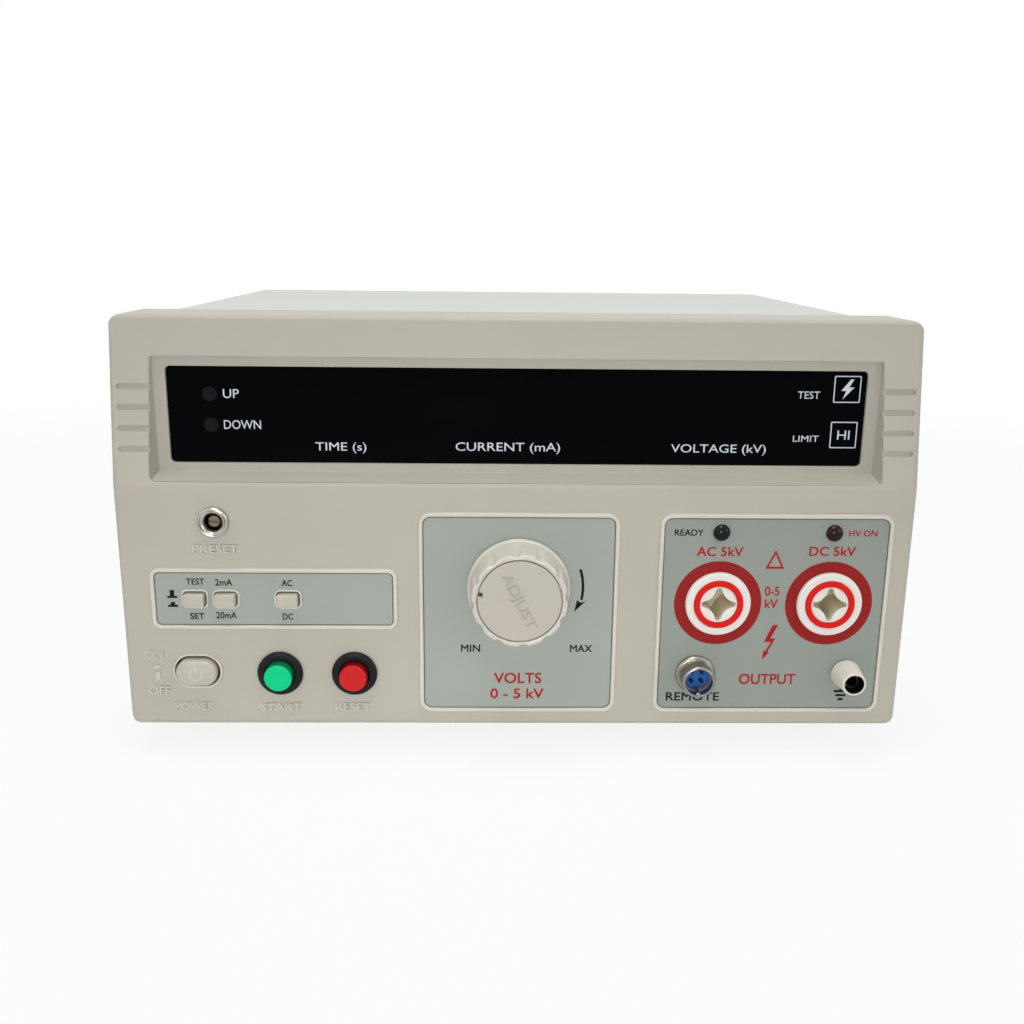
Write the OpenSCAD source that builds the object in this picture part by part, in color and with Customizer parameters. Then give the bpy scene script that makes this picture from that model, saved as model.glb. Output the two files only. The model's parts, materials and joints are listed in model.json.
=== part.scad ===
// Bench high voltage tester: a moulded bezel with a sunk display, a knob that turns a variable
// autotransformer, push switches, output sockets and a sheet metal case.
// Millimetres. X runs right, Y away from the viewer, Z up; the feet stand on z = 0.
// Sizes on the front are counted from the nose plane and from the lower edge of the bezel.

/* [Case] */
// Width of the front bezel
bezel_w = 320; // [312:1:340]
// Height of the front bezel
bezel_h = 168; // [166:1:176]
// Depth of the bezel, nose to back rim
bezel_d = 40; // [39:0.5:48]
// Height of the nose line, where the display face begins to lean
nose_h = 102; // [99:0.5:103]
// How far the top front edge sits behind the nose
top_lean = 10; // [8:0.5:12]
// Wall of the moulded bezel
bezel_t = 3; // [2.5:0.25:3.25]
// Corner radius of the bezel seen from the front
bezel_r = 5.5; // [4:0.5:8]
// Fillet along the front edges of the bezel
edge_r = 2.5; // [1.5:0.25:3]
// Height of the bezel's lower edge above the floor
bezel_lift = 12; // [10:0.5:20]
// Step in from the bezel's side to the cover's side
cover_step = 7; // [7:0.5:8]
// Drop from the bezel's top to the cover's top
cover_drop = 2.2; // [2:0.1:4]
// Bend radius of the cover
cover_r = 3; // [2:0.25:5]
// Distance from the nose plane to the cover's rear edge
case_d = 262; // [255:1:300]
// Depth of the rear panel inside the cover's rear edge
rear_inset = 2; // [1:0.25:2.5]
// Sheet thickness of cover, chassis and rear panel
sheet_t = 1.2; // [1:0.1:1.5]
// Slack between sheets that slide together
sheet_gap = 0.1; // [0.05:0.05:0.25]
// Slack between the chassis plate and the bezel's walls
plate_gap = 0.5; // [0.3:0.1:0.8]
// Height of the bent flanges
flange_h = 14; // [12:0.5:16]
// Vent slots in each row on a side
vent_count = 12; // [6:1:12]
// Spacing of the vent slots
vent_pitch = 7; // [6:0.5:7]
// Width of a vent slot
vent_w = 3; // [2:0.25:4]
// Height of a vent slot
vent_h = 34; // [20:1:36]

/* [Feet and screws] */
// Diameter of a foot at the floor
foot_d = 20; // [18:0.5:24]
// Diameter of a foot at the chassis
foot_top_d = 24; // [22:0.5:28]
// Distance of the feet from the cover's sides
foot_side = 31; // [27:1:43]
// Screw shank diameter
screw_d = 4; // [3.5:0.25:4.5]
// Screw head diameter
head_d = 7.5; // [7:0.25:8]
// Screw head height
head_h = 2.2; // [1.8:0.1:2.4]
// Screw length under the head
screw_l = 8; // [7:0.5:10]
// Radial slack round a screw
screw_gap = 0.1; // [0.05:0.05:0.2]
// Diameter of the bezel's screw posts
post_d = 9; // [8:0.5:10]
// Distance of the posts from the bezel's sides
post_side = 14; // [14:0.5:17]

/* [Display] */
// Distance of the recess from the bezel's sides
recess_side = 14.8; // [14:0.2:17]
// Distance of the recess's top below the bezel's top
recess_down = 16; // [14:0.5:18]
// Distance of the recess's lower front edge above the nose line
recess_up = 1.5; // [1.5:0.25:2.5]
// Depth of the recess floor behind the nose plane
recess_d = 9.5; // [9:0.25:11]
// Draft of the recess sides over its depth
recess_draft = 1.5; // [0.5:0.25:2]
// Rise of the lower ledge over its depth
ledge_rise = 2.7; // [2:0.1:3.5]
// Corner radius of the recess
recess_r = 2.5; // [1.5:0.25:3.5]
// Wall and floor of the recess
recess_t = 1.8; // [1.5:0.1:2.2]
// Distance of the window opening from the recess's sides
window_edge = 6.2; // [6.2:0.2:9.2]
// Distance of the window opening's lower edge above the recess's lower edge
window_up = 6; // [6:0.25:7.5]
// Distance of the window opening's upper edge below the recess's top
window_down = 3.9; // [3.9:0.1:6]
// Corner radius of the window opening
window_r = 2; // [1:0.25:3]
// Lap of the pane behind the floor
pane_lap = 2.5; // [1.5:0.25:2.5]
// Thickness of the pane
pane_t = 2; // [1.5:0.25:3]
// Depth of the digit modules
digit_d = 8; // [7:0.5:9]
// Slack between pane and digit modules
digit_gap = 0.2; // [0.1:0.05:0.3]
// Height of the digit modules above the window's lower edge
digit_up = 8.5; // [6:0.5:10]
// Distance of the digit modules' top below the window's upper edge
digit_down = 5.1; // [4:0.1:8]
// Diameter of a display lamp
spot_d = 5; // [4:0.25:6]
// Distance of the left display lamps from the window's side
spot_left = 16.5; // [14:0.5:20]
// Distance of the right display lamps from the window's side
spot_right = 7.5; // [6:0.5:10]
// Board thickness
board_t = 1.6; // [1:0.2:2]
// Height of a side groove
groove_w = 2.1; // [1.6:0.1:2.5]
// Depth of a side groove
groove_d = 1; // [0.6:0.1:1.4]
// Height of the lowest side groove above the nose line
groove_up = 14.05; // [13:0.05:16]
// Spacing of the side grooves
groove_pitch = 8.05; // [7:0.05:8.5]
// Distance of the grooves' outer ends from the bezel's sides
groove_side = 3; // [3:0.5:8]

/* [Labels] */
// Thickness of the printed labels
label_t = 0.4; // [0.3:0.1:0.5]
// Slack round a label
label_gap = 0.1; // [0.05:0.05:0.2]
// Width of the raised rim round a label
rim_w = 1.7; // [1.4:0.1:2]
// Height of the raised rims and collars
rim_h = 0.9; // [0.7:0.1:1.2]
// Distance of the switch label from the bezel's left side
switch_label_side = 13.9; // [13:0.1:14.4]
// Height of the middle of the switch label
switch_label_z = 55.4; // [54:0.1:57]
// Space between the switch label and the voltage label
switch_label_space = 12.25; // [11.5:0.05:13]
// Height of the switch label
switch_label_h = 22.2; // [20:0.2:24]
// Middle of the voltage label
voltage_label_x = 0.6; // [-0.5:0.1:1.5]
// Width of the voltage label
voltage_label_w = 77.3; // [76:0.2:80]
// Distance of the output label's middle from the bezel's right side
output_label_in = 55.6; // [55:0.1:56.5]
// Width of the output label
output_label_w = 90.9; // [89:0.2:92]
// Height of the middle of the two tall labels
tall_label_z = 49.1; // [48:0.1:50]
// Height of the two tall labels
tall_label_h = 82; // [81:0.5:84]
// Corner radius of the tall labels
label_r = 3.2; // [2:0.2:4]
// Corner radius of the switch label
switch_label_r = 2; // [1:0.2:3]

/* [Knob and autotransformer] */
// Height of the knob's axis
knob_z = 60.7; // [60:0.1:62]
// Diameter of the knob's skirt
skirt_d = 41.7; // [38:0.1:44]
// Thickness of the knob's skirt
skirt_t = 1.6; // [1.2:0.1:2.4]
// Diameter of the grip at the skirt
grip_d = 40; // [37:0.1:41]
// Diameter of the grip at the front
grip_front_d = 38; // [36:0.1:38]
// Height of the knob
knob_h = 17; // [15:0.5:20]
// Gap between label and knob
knob_gap = 0.6; // [0.4:0.1:0.8]
// Number of flutes
flutes = 12; // [8:1:16]
// Radius of a flute
flute_r = 3; // [2:0.25:4]
// Depth of a flute
flute_depth = 1.1; // [0.6:0.1:1.4]
// Height where the flutes start above the skirt
flute_start = 3.5; // [2:0.25:5]
// Diameter of the knob's cap disc
cap_d = 32.8; // [30:0.1:33]
// Thickness of the cap disc
cap_t = 2; // [1.6:0.1:2.6]
// Slack round the cap disc
cap_gap = 0.15; // [0.1:0.05:0.2]
// Width of the pry notch in the cap disc
notch_w = 1.8; // [1.2:0.1:2.4]
// Shaft diameter
shaft_d = 8; // [6:0.25:9]
// Radial running slack of the turning and pressed pieces
run_gap = 0.05; // [0.03:0.01:0.08]
// Outer diameter of the winding
coil_d = 104; // [96:1:104]
// Inner diameter of the winding
coil_bore = 50; // [44:1:54]
// Length of the winding
coil_l = 50; // [40:1:56]
// Thickness of the winding over the core
coil_t = 6; // [4:0.5:7]
// Thickness of the mounting base
base_t = 4; // [3:0.5:6]
// Outer diameter of the shaft bushing
bush_d = 14; // [13:0.5:16]
// Thickness of the brush arm
arm_t = 4; // [3:0.5:6]
// Width of the brush arm
arm_w = 12; // [10:0.5:14]
// Side of the carbon brush
brush_w = 8; // [6:0.5:9]
// Height of the carbon brush
brush_h = 4; // [3:0.5:5]

/* [Push switches] */
// Height of the selector row
selector_z = 55.4; // [55:0.1:56]
// Distance of the first selector button from the bezel's left side
selector_in = 29.8; // [29:0.1:30.5]
// Spacing of the selectors; the third place stays empty
selector_pitch = 12.5; // [12.3:0.1:12.7]
// Width of a selector cap
selector_w = 8.6; // [8:0.1:9]
// Height of a selector cap
selector_h = 5.6; // [5:0.1:6]
// How far a selector cap stands out
selector_out = 3; // [2.8:0.1:3.6]
// Travel of a selector
selector_travel = 2.2; // [1.8:0.1:2.5]
// Gap round a pressed cap
press_gap = 0.4; // [0.3:0.05:0.5]
// Wall of a selector collar
collar_w = 0.85; // [0.7:0.05:1]
// Distance of the power button from the bezel's left side
power_in = 29; // [28:0.1:31]
// Height of the middle of the power button
power_z = 24.1; // [23:0.1:25]
// Width of the power button
power_w = 17.7; // [17:0.1:18]
// Height of the power button
power_h = 12.4; // [11:0.1:13]
// How far the power button stands out
power_out = 3; // [2.5:0.1:3.5]
// Travel of the power button
power_travel = 2.5; // [2:0.1:3]
// Wall of the power button's rim
power_rim = 0.9; // [0.7:0.05:1.1]
// Distance of the start button from the bezel's left side
start_in = 62.8; // [62:0.1:64]
// Distance of the reset button from the bezel's left side
reset_in = 93.3; // [92:0.1:94]
// Height of the start and reset buttons
start_z = 23.3; // [22:0.1:24]
// Diameter of the black bezel rings
ring_d = 18.6; // [18.2:0.1:19.5]
// Height of the black bezel rings
ring_h = 2.2; // [1.5:0.1:3]
// Diameter of the threaded barrel
barrel_d = 15.8; // [15.2:0.1:16]
// Diameter of a start or reset cap
start_d = 11.5; // [10.5:0.1:12]
// How far the caps stand out
start_out = 6.5; // [5:0.1:7.5]
// Travel of the start and reset caps
start_travel = 2.5; // [2:0.1:3]
// Stem diameter of the larger caps
stem_d = 5; // [4:0.25:6]
// Stem diameter of the selector caps
small_stem_d = 3; // [2.5:0.25:3.5]
// Thickness of the ring nuts
nut_t = 3; // [2:0.25:4]

/* [Preset] */
// Distance of the preset from the bezel's left side
preset_in = 39; // [37:0.1:42]
// Height of the preset adjuster
preset_z = 87.5; // [86.5:0.1:88]
// Outer diameter of the ferrule
ferrule_d = 12.5; // [11.5:0.1:13.5]
// Height of the ferrule's flange
ferrule_h = 2; // [1.5:0.1:2.5]
// Bore of the ferrule
ferrule_bore = 7.2; // [6.8:0.1:7.6]
// Diameter of the ferrule's barrel
ferrule_barrel = 9; // [8.6:0.1:9.4]
// Diameter of the slotted head
slot_head_d = 4.6; // [4.4:0.1:5.4]
// Depth of the slotted head's front behind the panel
slot_head_in = 0.8; // [0.4:0.1:2]
// Width of the ferrule's coned mouth
ferrule_cone = 1.4; // [0.8:0.1:1.5]

/* [Output panel] */
// Distance of the left socket from the bezel's right side
socket_ac_in = 78; // [77:0.1:79]
// Distance of the right socket from the bezel's right side
socket_dc_in = 32.4; // [31.5:0.1:33.5]
// Height of the sockets
socket_z = 54.4; // [53.5:0.1:55]
// Diameter of a socket's flange
socket_d = 26.7; // [25.5:0.1:28]
// Height of a socket's flange
socket_h = 2; // [1.6:0.1:2.4]
// Barrel diameter of a socket
socket_barrel = 22; // [21:0.1:22.6]
// Length of a socket behind the panel
socket_l = 30; // [28:0.5:31]
// Depth of the star mouth behind the nose plane
star_d = 15; // [12:0.5:18]
// Half span of the star mouth
star_half = 6.9; // [6.5:0.05:7]
// Radius of the hollows between the star's arms
star_hollow = 6.4; // [6.2:0.05:6.5]
// Offset of the hollows from the middle
star_off = 7.4; // [7.3:0.05:7.6]
// Outer diameter of the bright ring
bright_d = 20.2; // [19.6:0.1:21]
// Inner diameter of the bright ring
bright_bore = 15.3; // [15:0.1:16]
// How far the bright ring stands above the flange
bright_out = 0.6; // [0.3:0.1:0.9]
// How deep the bright ring is set into the flange
bright_set = 1; // [0.8:0.1:1.2]
// Bore of the plug contacts
contact_bore = 4; // [3.5:0.1:4.2]
// Outer diameter of the output contacts
contact_d = 6; // [5.6:0.1:6.6]
// Depth of the contact bore
contact_l = 14; // [12:0.5:14]
// Lamp diameter
lamp_d = 6.8; // [6.4:0.1:7]
// Height of the lamps
lamp_z = 84.2; // [83.6:0.1:84.4]
// How far a lamp stands out
lamp_out = 2.4; // [2:0.1:3]
// Distance of the control connector from the bezel's right side
connector_in = 85.7; // [85:0.1:86.5]
// Height of the control connector
connector_z = 23.4; // [22.8:0.1:24]
// Flange diameter of the connector
connector_flange = 16.5; // [15.6:0.1:17.4]
// Shell diameter of the connector
connector_d = 13.5; // [12.9:0.1:14]
// How far the connector stands out
connector_out = 10; // [9:0.25:11]
// Bore of the connector's shell
connector_bore = 11.2; // [10.8:0.1:11.6]
// Barrel diameter of the connector
connector_barrel = 11.8; // [11.2:0.1:12.2]
// Diameter of a connector pin
pin_d = 1.4; // [1:0.1:1.6]
// Radius of the circle of connector pins
pin_circle = 2.8; // [2.6:0.1:3]
// Distance of the ground post from the bezel's right side
ground_in = 23; // [22:0.1:24]
// Height of the ground post
ground_z = 23.9; // [23.4:0.1:24.4]
// Stud diameter of the ground post
stud_d = 5.6; // [5.4:0.1:6]
// How far the stud stands out
stud_out = 9.5; // [8.5:0.25:10.5]
// Diameter of the ground cap at the panel
ground_d = 12.3; // [11.6:0.1:13]
// Diameter of the ground cap at its mouth
ground_front_d = 9.7; // [9.3:0.1:10.4]
// How far the ground cap stands out
ground_out = 13; // [12:0.25:14]
// Diameter of the cap's mouth
ground_mouth = 8; // [7.4:0.1:8.4]
// Thickness of the clamping washer
washer_t = 0.8; // [0.6:0.1:1]

/* [Mains inlet] */
// Distance of the inlet from the cover's side
inlet_in = 49; // [43:1:93]
// Height of the middle of the inlet above the floor
inlet_z = 70; // [50:1:120]
// Flange width of the inlet
inlet_w = 31; // [30:0.5:34]
// Flange height of the inlet
inlet_h = 50; // [48:0.5:56]
// Flange thickness of the inlet
inlet_t = 3; // [2.5:0.25:3.5]
// Cavity width
plug_w = 24.6; // [24.2:0.1:24.8]
// Cavity height
plug_h = 16.6; // [16.2:0.1:17]
// Cavity depth
plug_d = 17; // [16:0.5:18]
// Body depth of the inlet inside the case
inlet_d = 26; // [25:0.5:30]
// Width of the fuse drawer
drawer_w = 22; // [20:0.5:22.5]
// Height of the fuse drawer
drawer_h = 9; // [8:0.25:10]
// Slack round the fuse drawer
drawer_gap = 0.3; // [0.3:0.05:0.4]
// Thickness of the drawer's front
drawer_t = 2; // [1.5:0.25:2.5]
// Length of the fuse drawer
drawer_l = 22; // [20:0.5:23]

/* [Hidden] */
$fn = 64;
lean = atan(top_lean / (bezel_h - nose_h));
plate_y = bezel_d - sheet_t;
pan_z = bezel_lift + bezel_t + plate_gap;
pan_top = pan_z + sheet_t;
cover_w = bezel_w - 2 * cover_step;
pan_half = cover_w / 2 - sheet_t - sheet_gap;
foot_x = cover_w / 2 - foot_side;
post_x = bezel_w / 2 - post_side;
recess_half = bezel_w / 2 - recess_side;
window_half = recess_half - window_edge;
recess_top = bezel_h - recess_down;
recess_bottom = nose_h + recess_up;
window_low = recess_bottom + window_up;
window_high = recess_top - window_down;
groove_low = nose_h + groove_up;
groove_end = bezel_w / 2 - groove_side;
switch_label_left = switch_label_side - bezel_w / 2;
switch_label_right = voltage_label_x - voltage_label_w / 2 - switch_label_space;
switch_label_x = (switch_label_left + switch_label_right) / 2;
switch_label_w = switch_label_right - switch_label_left;
output_label_x = bezel_w / 2 - output_label_in;
selector_x = selector_in - bezel_w / 2;
power_x = power_in - bezel_w / 2;
start_x = start_in - bezel_w / 2;
reset_x = reset_in - bezel_w / 2;
preset_x = preset_in - bezel_w / 2;
socket_ac_x = bezel_w / 2 - socket_ac_in;
socket_dc_x = bezel_w / 2 - socket_dc_in;
connector_x = bezel_w / 2 - connector_in;
ground_x = bezel_w / 2 - ground_in;
inlet_x = inlet_in - cover_w / 2;
cover_top = bezel_lift + bezel_h - cover_drop;
rear_y = case_d - rear_inset;
rear_flange_y = rear_y - flange_h;
rear_reach = rear_y + inlet_t + drawer_t;
knob_base = label_t + knob_gap;
knob_out = knob_base + knob_h;
origin_y = (knob_out - rear_reach) / 2;
pane_y = recess_d + recess_t;
digit_y = pane_y + pane_t + digit_gap;
display_y = digit_y + digit_d;
coil_y = bezel_d + base_t;
track_y = coil_y + coil_l;
shaft_end = track_y + brush_h + arm_t + 4;
screw_hole = screw_d + 2 * screw_gap;
selector_y = 9;
selector_back = 18;
stem_y = 6;
foot_ys = [bezel_d + 22, rear_y - 24];
post_in = 9;
post_zs = [post_in + 1, nose_h - 5, bezel_h - post_in];
side_screw_front = 30;
side_screw_back = 12;
side_screw_ys = [bezel_d + side_screw_front, (bezel_d + rear_flange_y) / 2, rear_flange_y - side_screw_back];
rear_lip_in = 25;
rear_lip_low = pan_top + rear_lip_in;
rear_lip_high = cover_top - rear_lip_in;
rear_screw_in = 20;
rear_screw_zs = [rear_lip_low + rear_screw_in, rear_lip_high - rear_screw_in];
rear_pan_in = 60;
rear_pan_half = cover_w / 2 - rear_pan_in;
rear_pan_xs = [-rear_pan_half, 0, rear_pan_half];
rear_hem_in = 40;
rear_hem_half = cover_w / 2 - rear_hem_in;
vent_low = pan_top + 51;
vent_high = vent_low + vent_h + 12;
core_in = 69;
core_x = cover_w / 2 - core_in;
core_back = 74;
core_y = rear_y - core_back;
core_w = 96;
core_h = 80;
core_stack = 46;
coil_over = 15;
bracket_w = 16;
bracket_t = 2;
bracket_y = 15;
rectifier_in = 17;
rectifier_w = 70;
rectifier_h = 38;
rectifier_front = 34;
rectifier_l = 46;
control_in = 13;
control_w = 76;
control_l = 140;
control_front = 24;
control_x = [control_in - cover_w / 2, control_in + control_w - cover_w / 2];
control_y = [bezel_d + control_front, bezel_d + control_front + control_l];
control_lift = 8;
control_z = pan_top + control_lift;
selector_xs = [for (i = [0, 1, 3]) selector_x + i * selector_pitch];
thread_gap = run_gap;
nut_over = 5;

function unit(v) = v / norm(v);
function wrap(pts, i) = pts[(i + len(pts)) % len(pts)];
// One corner of a convex outline: point, the two ways out and half the angle between them
function corner(pts, i) =
  let (p = pts[i], a = unit(wrap(pts, i - 1) - p), b = unit(wrap(pts, i + 1) - p))
  [p, a, b, acos(a * b) / 2];
// Depth of the leaning face, moved inward by g, at height z
function slope_y(z, g) = (z - nose_h) * tan(lean) + g / cos(lean);

// Convex outline with true arcs at its corners
module rounded_poly(pts, r) {
  corners = [for (i = [0 : len(pts) - 1]) corner(pts, i)];
  polygon([for (c = corners) each [c[0] + c[1] * r / tan(c[3]), c[0] + c[2] * r / tan(c[3])]]);
  for (c = corners)
    translate(c[0] + unit(c[1] + c[2]) * r / sin(c[3]))
      circle(r);
}
module rounded_rect(w, h, r)
  rounded_poly([[-w / 2, -h / 2], [w / 2, -h / 2], [w / 2, h / 2], [-w / 2, h / 2]], r);
module stadium(w, h) {
  square([w - h, h], center = true);
  for (s = [-1, 1])
    translate([s * (w - h) / 2, 0])
      circle(d = h);
}
// Move a piece from the nose plane into the stored frame
module place() translate([0, origin_y, 0]) children();
// Stand on the lower panel: x and z on the panel, and the third axis comes out of it
module panel(x, z) translate([x, 0, bezel_lift + z]) rotate([90, 0, 0]) children();
// Run along Y from y0 with the outline drawn as seen from the front
module run_y(y0, l) translate([0, y0 + l, 0]) rotate([90, 0, 0]) linear_extrude(l) children();
// Box given by its two corners
module span(a, b) translate(a) cube(b - a);
// Round rod along +Y
module rod(x, y, z, d, l) translate([x, y, z]) rotate([-90, 0, 0]) cylinder(d = d, h = l);
// Solid of revolution on the panel from [radius, height] pairs
module turned(pts) rotate_extrude() polygon(pts);

// Outline of the bezel moved inward by g and cut off at y = reach
module bezel_form(g, reach) translate([0, 0, bezel_lift]) intersection() {
  rotate([90, 0, 90])
    linear_extrude(bezel_w - 2 * g, center = true)
      rounded_poly([[g, g], [reach + 20, g], [reach + 20, bezel_h - g],
        [slope_y(bezel_h - g, g), bezel_h - g], [g, nose_h - g * tan(lean / 2)]], edge_r);
  translate([0, reach, bezel_h / 2])
    rotate([90, 0, 0])
      linear_extrude(reach + 20)
        rounded_rect(bezel_w - 2 * g, bezel_h - 2 * g, bezel_r);
  translate([0, g + reach, 0])
    linear_extrude(3 * bezel_h, center = true)
      rounded_rect(bezel_w - 2 * g, 2 * reach, edge_r);
  translate([0, 0, nose_h])
    rotate([-lean, 0, 0])
      translate([0, g + reach, 0])
        linear_extrude(3 * bezel_h, center = true)
          rounded_rect(bezel_w - 2 * g, 2 * reach, edge_r);
}
module label_outline(w, h, r, grow) rounded_rect(w + 2 * grow, h + 2 * grow, r + grow);
module at_switch_label() panel(switch_label_x, switch_label_z) children();
module at_voltage_label() panel(voltage_label_x, tall_label_z) children();
module at_output_label() panel(output_label_x, tall_label_z) children();
module switch_outline(grow) label_outline(switch_label_w, switch_label_h, switch_label_r, grow);
module voltage_outline(grow) label_outline(voltage_label_w, tall_label_h, label_r, grow);
module output_outline(grow) label_outline(output_label_w, tall_label_h, label_r, grow);
module selector_outline(grow) label_outline(selector_w, selector_h, 1.2, grow);
module power_outline(grow) stadium(power_w + 2 * grow, power_h + 2 * grow);
// Raised band on the panel between two outlines
module band() linear_extrude(rim_h + 1) children();
// Round holes of the output panel: x, z, diameter
output_holes = [[socket_ac_x, socket_z, socket_barrel], [socket_dc_x, socket_z, socket_barrel],
  [socket_ac_x, lamp_z, lamp_d], [socket_dc_x, lamp_z, lamp_d],
  [connector_x, connector_z, connector_barrel], [ground_x, ground_z, stud_d]];
bezel_holes = concat(output_holes, [[voltage_label_x, knob_z, shaft_d + 2],
  [preset_x, preset_z, ferrule_barrel], [start_x, start_z, barrel_d], [reset_x, start_z, barrel_d]]);

module recess_cut() intersection() {
  rotate([90, 0, 90])
    linear_extrude(bezel_w, center = true)
      polygon([[-6, recess_bottom - 6 * ledge_rise / recess_d], [recess_d, recess_bottom + ledge_rise],
        [recess_d, recess_top], [-6, recess_top]]);
  linear_extrude(2 * bezel_h)
    polygon([[-recess_half - recess_draft, -6], [recess_half + recess_draft, -6],
      [recess_half - recess_draft, recess_d], [-recess_half + recess_draft, recess_d]]);
  translate([0, 0, (recess_top + recess_bottom) / 2])
    run_y(-6, recess_d + 12)
      rounded_rect(2 * recess_half, recess_top - recess_bottom, recess_r);
}
module grooves() for (i = [0 : 3], s = [-1, 1]) let (z = groove_low + i * groove_pitch)
  translate([0, slope_y(z, groove_d), bezel_lift + z])
  rotate([90 - lean, 0, 0])
  linear_extrude(groove_d + 2) {
    translate([s * groove_end - s * groove_w / 2, 0])
      circle(d = groove_w);
    translate([s * (groove_end + recess_half - 3 - groove_w / 2) / 2, 0])
      square([groove_end - recess_half + 3 - groove_w / 2, groove_w], center = true);
  }
module posts() {
  for (s = [-1, 1], z = post_zs)
    rod(s * post_x, 0, bezel_lift + z, post_d, plate_y);
  for (x = [selector_xs[0] - 12, selector_xs[2] + 12])
    rod(x, 0, bezel_lift + selector_z, 7, selector_back);
  for (s = [-1, 1], z = [window_low + 3, window_high - 3])
    rod(s * (window_half + pane_lap + 3), 0, bezel_lift + z, 5, display_y);
}
module front_bezel() color([0.70, 0.68, 0.63]) place() difference() {
  union() {
    difference() {
      bezel_form(0, bezel_d);
      bezel_form(bezel_t, bezel_d + 5);
    }
    intersection() {
      bezel_form(bezel_t / 2, bezel_d + 1);
      union() {
        span([-recess_half - recess_t, 0, bezel_lift + recess_bottom - recess_t],
          [recess_half + recess_t, pane_y, bezel_lift + recess_top + recess_t]);
        posts();
      }
    }
    translate([0, 1, 0]) at_switch_label() band() switch_outline(rim_w);
    translate([0, 1, 0]) at_voltage_label() band() voltage_outline(rim_w);
    translate([0, 1, 0]) at_output_label() band() output_outline(rim_w);
    translate([0, 1, 0]) panel(power_x, power_z) band() power_outline(press_gap + power_rim);
  }
  at_switch_label() linear_extrude(rim_h + 1) difference() {
    switch_outline(label_gap);
    for (x = selector_xs)
      translate([x - switch_label_x, selector_z - switch_label_z])
        selector_outline(press_gap + collar_w);
  }
  at_voltage_label() linear_extrude(rim_h + 1) voltage_outline(label_gap);
  at_output_label() linear_extrude(rim_h + 1) output_outline(label_gap);
  translate([0, 0, bezel_lift]) recess_cut();
  translate([0, 0, bezel_lift + (window_low + window_high) / 2])
    run_y(0, 20)
      rounded_rect(2 * window_half, window_high - window_low, window_r);
  grooves();
  for (h = bezel_holes)
    panel(h[0], h[1]) translate([0, 0, -bezel_t - 2]) cylinder(d = h[2] + 2 * thread_gap, h = bezel_t + 4);
  for (x = selector_xs)
    panel(x, selector_z)
      translate([0, 0, -bezel_t - 2])
        linear_extrude(bezel_t + 8)
          selector_outline(press_gap);
  panel(power_x, power_z)
    translate([0, 0, -bezel_t - 2])
      linear_extrude(bezel_t + 8)
        power_outline(press_gap);
  for (s = [-1, 1], z = post_zs)
    rod(s * post_x, plate_y - screw_l - 2, bezel_lift + z, screw_hole, screw_l + 10);
}
module display_window() color([0.03, 0.03, 0.04]) place()
  translate([0, 0, bezel_lift + (window_low + window_high) / 2])
    run_y(pane_y, pane_t)
      rounded_rect(2 * window_half + 2 * pane_lap, window_high - window_low + 2 * pane_lap, window_r);
module switch_label() color([0.60, 0.63, 0.60]) place() at_switch_label()
  linear_extrude(label_t)
  difference() {
  switch_outline(0);
  for (x = selector_xs)
    translate([x - switch_label_x, selector_z - switch_label_z])
      selector_outline(press_gap + collar_w + label_gap);
}
module voltage_label() color([0.60, 0.63, 0.60]) place() at_voltage_label()
  linear_extrude(label_t)
  difference() {
  voltage_outline(0);
  translate([0, knob_z - tall_label_z])
    circle(d = shaft_d + 3);
}
module output_label() color([0.60, 0.63, 0.60]) place() at_output_label()
  linear_extrude(label_t)
  difference() {
  output_outline(0);
  for (h = output_holes)
    translate([h[0] - output_label_x, h[1] - tall_label_z])
      circle(d = h[2] + 4 * thread_gap);
}

wire_hole_x = bezel_w / 2 - 60;
wire_hole_z = (window_low + window_high) / 2;
// Openings in the chassis plate for wires and long bodies: x, z, diameter
plate_holes = [[socket_ac_x, socket_z, 26], [socket_dc_x, socket_z, 26], [connector_x, connector_z, 14],
  [start_x, start_z, 20], [reset_x, start_z, 20], [-wire_hole_x, wire_hole_z, 30],
  [wire_hole_x, wire_hole_z, 30]];
module chassis() color([0.66, 0.67, 0.68]) place() difference() {
  union() {
    translate([0, 0, bezel_lift + bezel_h / 2])
      run_y(plate_y, sheet_t)
        rounded_rect(bezel_w - 2 * bezel_t - 2 * plate_gap, bezel_h - 2 * bezel_t - 2 * plate_gap, bezel_r);
    span([-pan_half, plate_y, pan_z], [pan_half, rear_y, pan_top]);
    for (s = [-1, 1])
      translate([s * (pan_half - sheet_t / 2), (bezel_d + 6 + rear_flange_y - 2) / 2, pan_z + flange_h / 2])
        cube([sheet_t, rear_flange_y - 8 - bezel_d, flange_h], center = true);
    for (x = control_x, y = control_y)
      translate([x + (x == control_x[0] ? 5 : -5), y + (y == control_y[0] ? 5 : -5), pan_z])
        cylinder(d = 6, h = control_z - pan_z);
  }
  for (h = plate_holes)
    rod(h[0], plate_y - 2, bezel_lift + h[1], h[2], sheet_t + 4);
  rod(voltage_label_x, plate_y - 2, bezel_lift + knob_z, bush_d + 2 * thread_gap, sheet_t + 4);
  foot_bores(screw_hole, pan_z - 1, sheet_t + 2);
  screw_holes();
}
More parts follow.
